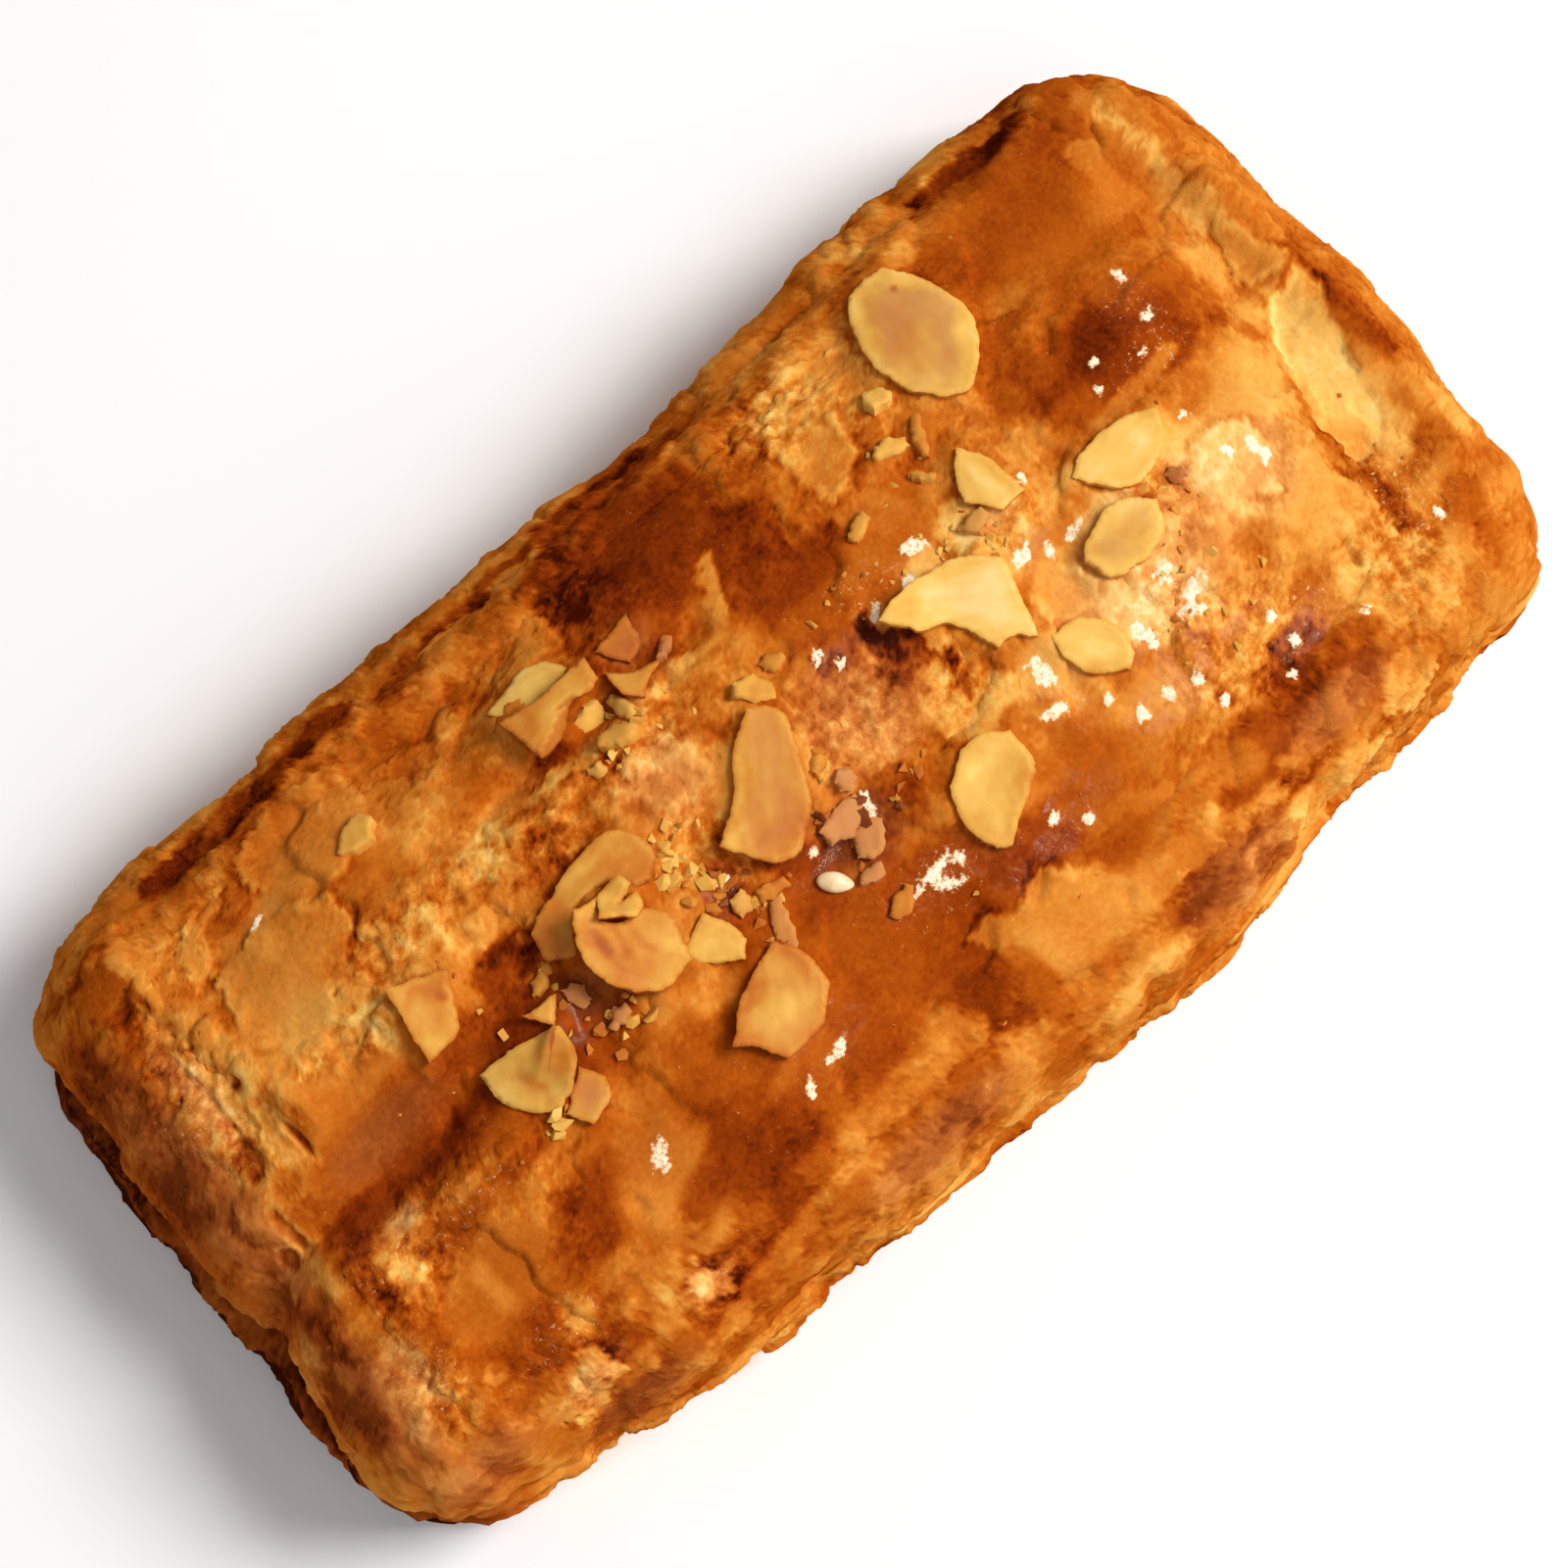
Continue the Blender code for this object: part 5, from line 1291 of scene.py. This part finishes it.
def crust_material():
    """Golden crust, duller where the dough is bare and where the -X end's wall has painted shade, under wet
    glaze, with painted white highlights where it glints, and white grains.
    """
    made = Nodes("glazed_crust_looks")
    wet, glazed = made.attribute("wet"), made.attribute("glazed")
    mottling = made.math("MULTIPLY_ADD", glazed, -0.18, 0.30)
    shade = made.varied(made.attribute("tone"), made.speckle(2.2, 6.0, 0.65), mottling)
    shade = made.varied(shade, made.speckle(0.5, 3.0), 0.20)
    grit = made.math("MULTIPLY", made.attribute("rough"), 0.9)
    shade = made.varied(shade, made.speckle(0.9, 5.0, 0.75), grit)
    dull_and_end_shade_share = made.math("MULTIPLY", made.attribute("dull_and_end_shade"), 0.8)
    colour = made.mix(dull_and_end_shade_share, made.ramp(shade, CRUST_COLOURS), made.ramp(shade, DULL_COLOURS))
    # Painted highlights and white grains: white, with a pale painted halo round them
    broken_highlights_and_grains = made.varied(made.attribute("highlights_and_grains"), made.speckle(0.6, 5.0, 0.75), 2.3)
    broken_highlights_and_grains = made.varied(broken_highlights_and_grains, made.speckle(0.22, 3.0, 0.7), 1.5)
    highlight_halo = made.math("MULTIPLY", made.steps(broken_highlights_and_grains, 0.42, 0.75), 0.45)
    colour = made.mix(highlight_halo, colour, linear(HIGHLIGHT_HALO_COLOUR))
    colour = made.mix(made.steps(broken_highlights_and_grains, 0.62, 1.02), colour, linear(HIGHLIGHT_AND_GRAIN_COLOUR))
    bare = made.math("MULTIPLY_ADD", glazed, -0.7, 1.0)
    lumps = made.bump(made.math("MULTIPLY", made.speckle(1.4, 5.0), bare), 0.6, 0.2)
    made.feed(made.bump(made.speckle(0.35, 3.0), 0.5, 0.08).outputs["Normal"], lumps.inputs["Normal"])
    return made.dressed({
        "Base Color": colour,
        "Roughness": made.math("MULTIPLY_ADD", wet, -0.2, 0.5),
        "Coat Weight": made.math("MULTIPLY", wet, 0.36),
        "Coat Roughness": 0.06,
        "Coat IOR": 1.3,
        "Specular IOR Level": made.math("MULTIPLY", wet, 0.03),
        "Normal": lumps.outputs["Normal"],
        "Coat Normal": lumps.outputs["Normal"],
    })


def almond_material():
    made = Nodes("almond_looks")
    shade = made.varied(made.attribute("toast"), made.speckle(1.6, 5.0), 0.16)
    shade = made.varied(shade, made.speckle(0.35, 3.0), 0.06)
    return made.dressed({
        "Base Color": made.mix(made.attribute("pink"), made.ramp(shade, ALMOND_COLOURS), linear(ALMOND_PINK)),
        "Roughness": 0.42,
        "Specular IOR Level": 0.08,
        "Subsurface Weight": 0.12,
        "Subsurface Radius": (1.0, 0.6, 0.25),
        "Subsurface Scale": 0.0012,
        "Normal": made.bump(made.speckle(0.7, 4.0), 0.5, 0.08).outputs["Normal"],
    })


def seed_material():
    made = Nodes("sesame_looks")
    return made.dressed({"Base Color": made.ramp(made.speckle(1.2, 4.0), SEED_COLOURS), "Roughness": 0.35})


def floor_material():
    return Nodes("pale_floor").dressed({"Base Color": linear(FLOOR_COLOUR), "Roughness": 0.9})


# --- The stage ---


def floor():
    bpy.ops.mesh.primitive_plane_add(size=FLOOR_SIZE, location=(0, 0, -FLOOR_DROP))
    made = bpy.context.object
    made.name = "floor"
    made.data.materials.append(floor_material())


def area_light(name, heading, elevation, distance, size, power, colour):
    """A square lamp that looks at the pastry. Only the small glint lamp shines in the wet glaze,
    so that the glints stay sharp, and only the others light the colours."""
    data = bpy.data.lights.new(name, "AREA")
    data.shape = "SQUARE"
    data.size = size
    data.energy = power
    data.color = colour
    lamp = bpy.data.objects.new(name, data)
    bpy.context.scene.collection.objects.link(lamp)
    back = direction(PHOTO_AZIMUTH + heading, elevation)
    lamp.location = back * distance
    lamp.rotation_euler = (-back).to_track_quat("-Z", "Y").to_euler()
    lamp.visible_glossy = name == "glint"
    lamp.visible_diffuse = name != "glint"


def direction(azimuth, elevation):
    """The unit vector from the pastry to an eye or lamp: azimuth 0 is at -Y, and 90 at +X."""
    around, up = math.radians(azimuth), math.radians(elevation)
    return Vector((math.sin(around) * math.cos(up), -math.cos(around) * math.cos(up), math.sin(up)))


def camera():
    data = bpy.data.cameras.new("camera")
    data.sensor_width = SENSOR_WIDTH
    data.lens = SENSOR_WIDTH * CAMERA_DISTANCE / FRAME_WIDTH
    data.clip_start, data.clip_end = 0.01, 10.0
    made = bpy.data.objects.new("camera", data)
    bpy.context.scene.collection.objects.link(made)
    around = math.radians(PHOTO_AZIMUTH)
    back = direction(PHOTO_AZIMUTH, PHOTO_ELEVATION)
    right = Vector((math.cos(around), math.sin(around), 0))
    turn = Matrix((right, back.cross(right), back)).transposed().to_4x4()
    made.matrix_world = Matrix.Translation((Vector(CAMERA_TARGET) + back * CAMERA_DISTANCE) * MM) @ turn
    bpy.context.scene.camera = made


def light_the_stage():
    floor()
    for name, settings in LAMPS.items():
        area_light(name, *settings)
    world = bpy.data.worlds.new("studio")
    world.use_nodes = True
    world.node_tree.nodes["Background"].inputs["Color"].default_value = SKY_COLOUR
    world.node_tree.nodes["Background"].inputs["Strength"].default_value = SKY_STRENGTH
    bpy.context.scene.world = world
    bpy.context.scene.view_settings.view_transform = "Standard"


# --- The pastry ---


def crust_pieces(crust):
    material = crust_material()
    values = {
        "tone": crust.tone, "wet": crust.wet, "highlights_and_grains": crust.highlights_and_grains, "dull_and_end_shade": crust.dull_and_end_shade,
        "rough": crust.crumbly, "glazed": crust.glazed,
    }
    normals = vertex_normals(crust.points, crust.quads)
    top = to_object("crust_top", crust.points, crust.quads[: crust.top_quads], material, values, normals)
    side_faces = list(crust.quads[crust.top_quads :]) + [crust.last_ring[::-1]]
    sides = to_object("crust_sides", crust.points, side_faces, material, values, normals)
    for piece in (top, sides):
        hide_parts("pastry")


upper_sheets = {node: upper_sheet(node) for node in ALMOND_LOOKS}
crust = Crust([corners.tolist() for corners, _ in upper_sheets.values()])
crust_pieces(crust)
ground = BVHTree.FromPolygons(crust.points.tolist(), crust.quads[: crust.top_quads].tolist())
almond = almond_material()
for node, (corners, surface) in upper_sheets.items():
    almond_piece(node, corners, surface, almond)
chips_piece(ground, almond)
crumbs_piece(ground, [surface for _, surface in upper_sheets.values()], almond)
seed_piece(ground)
camera()
light_the_stage()
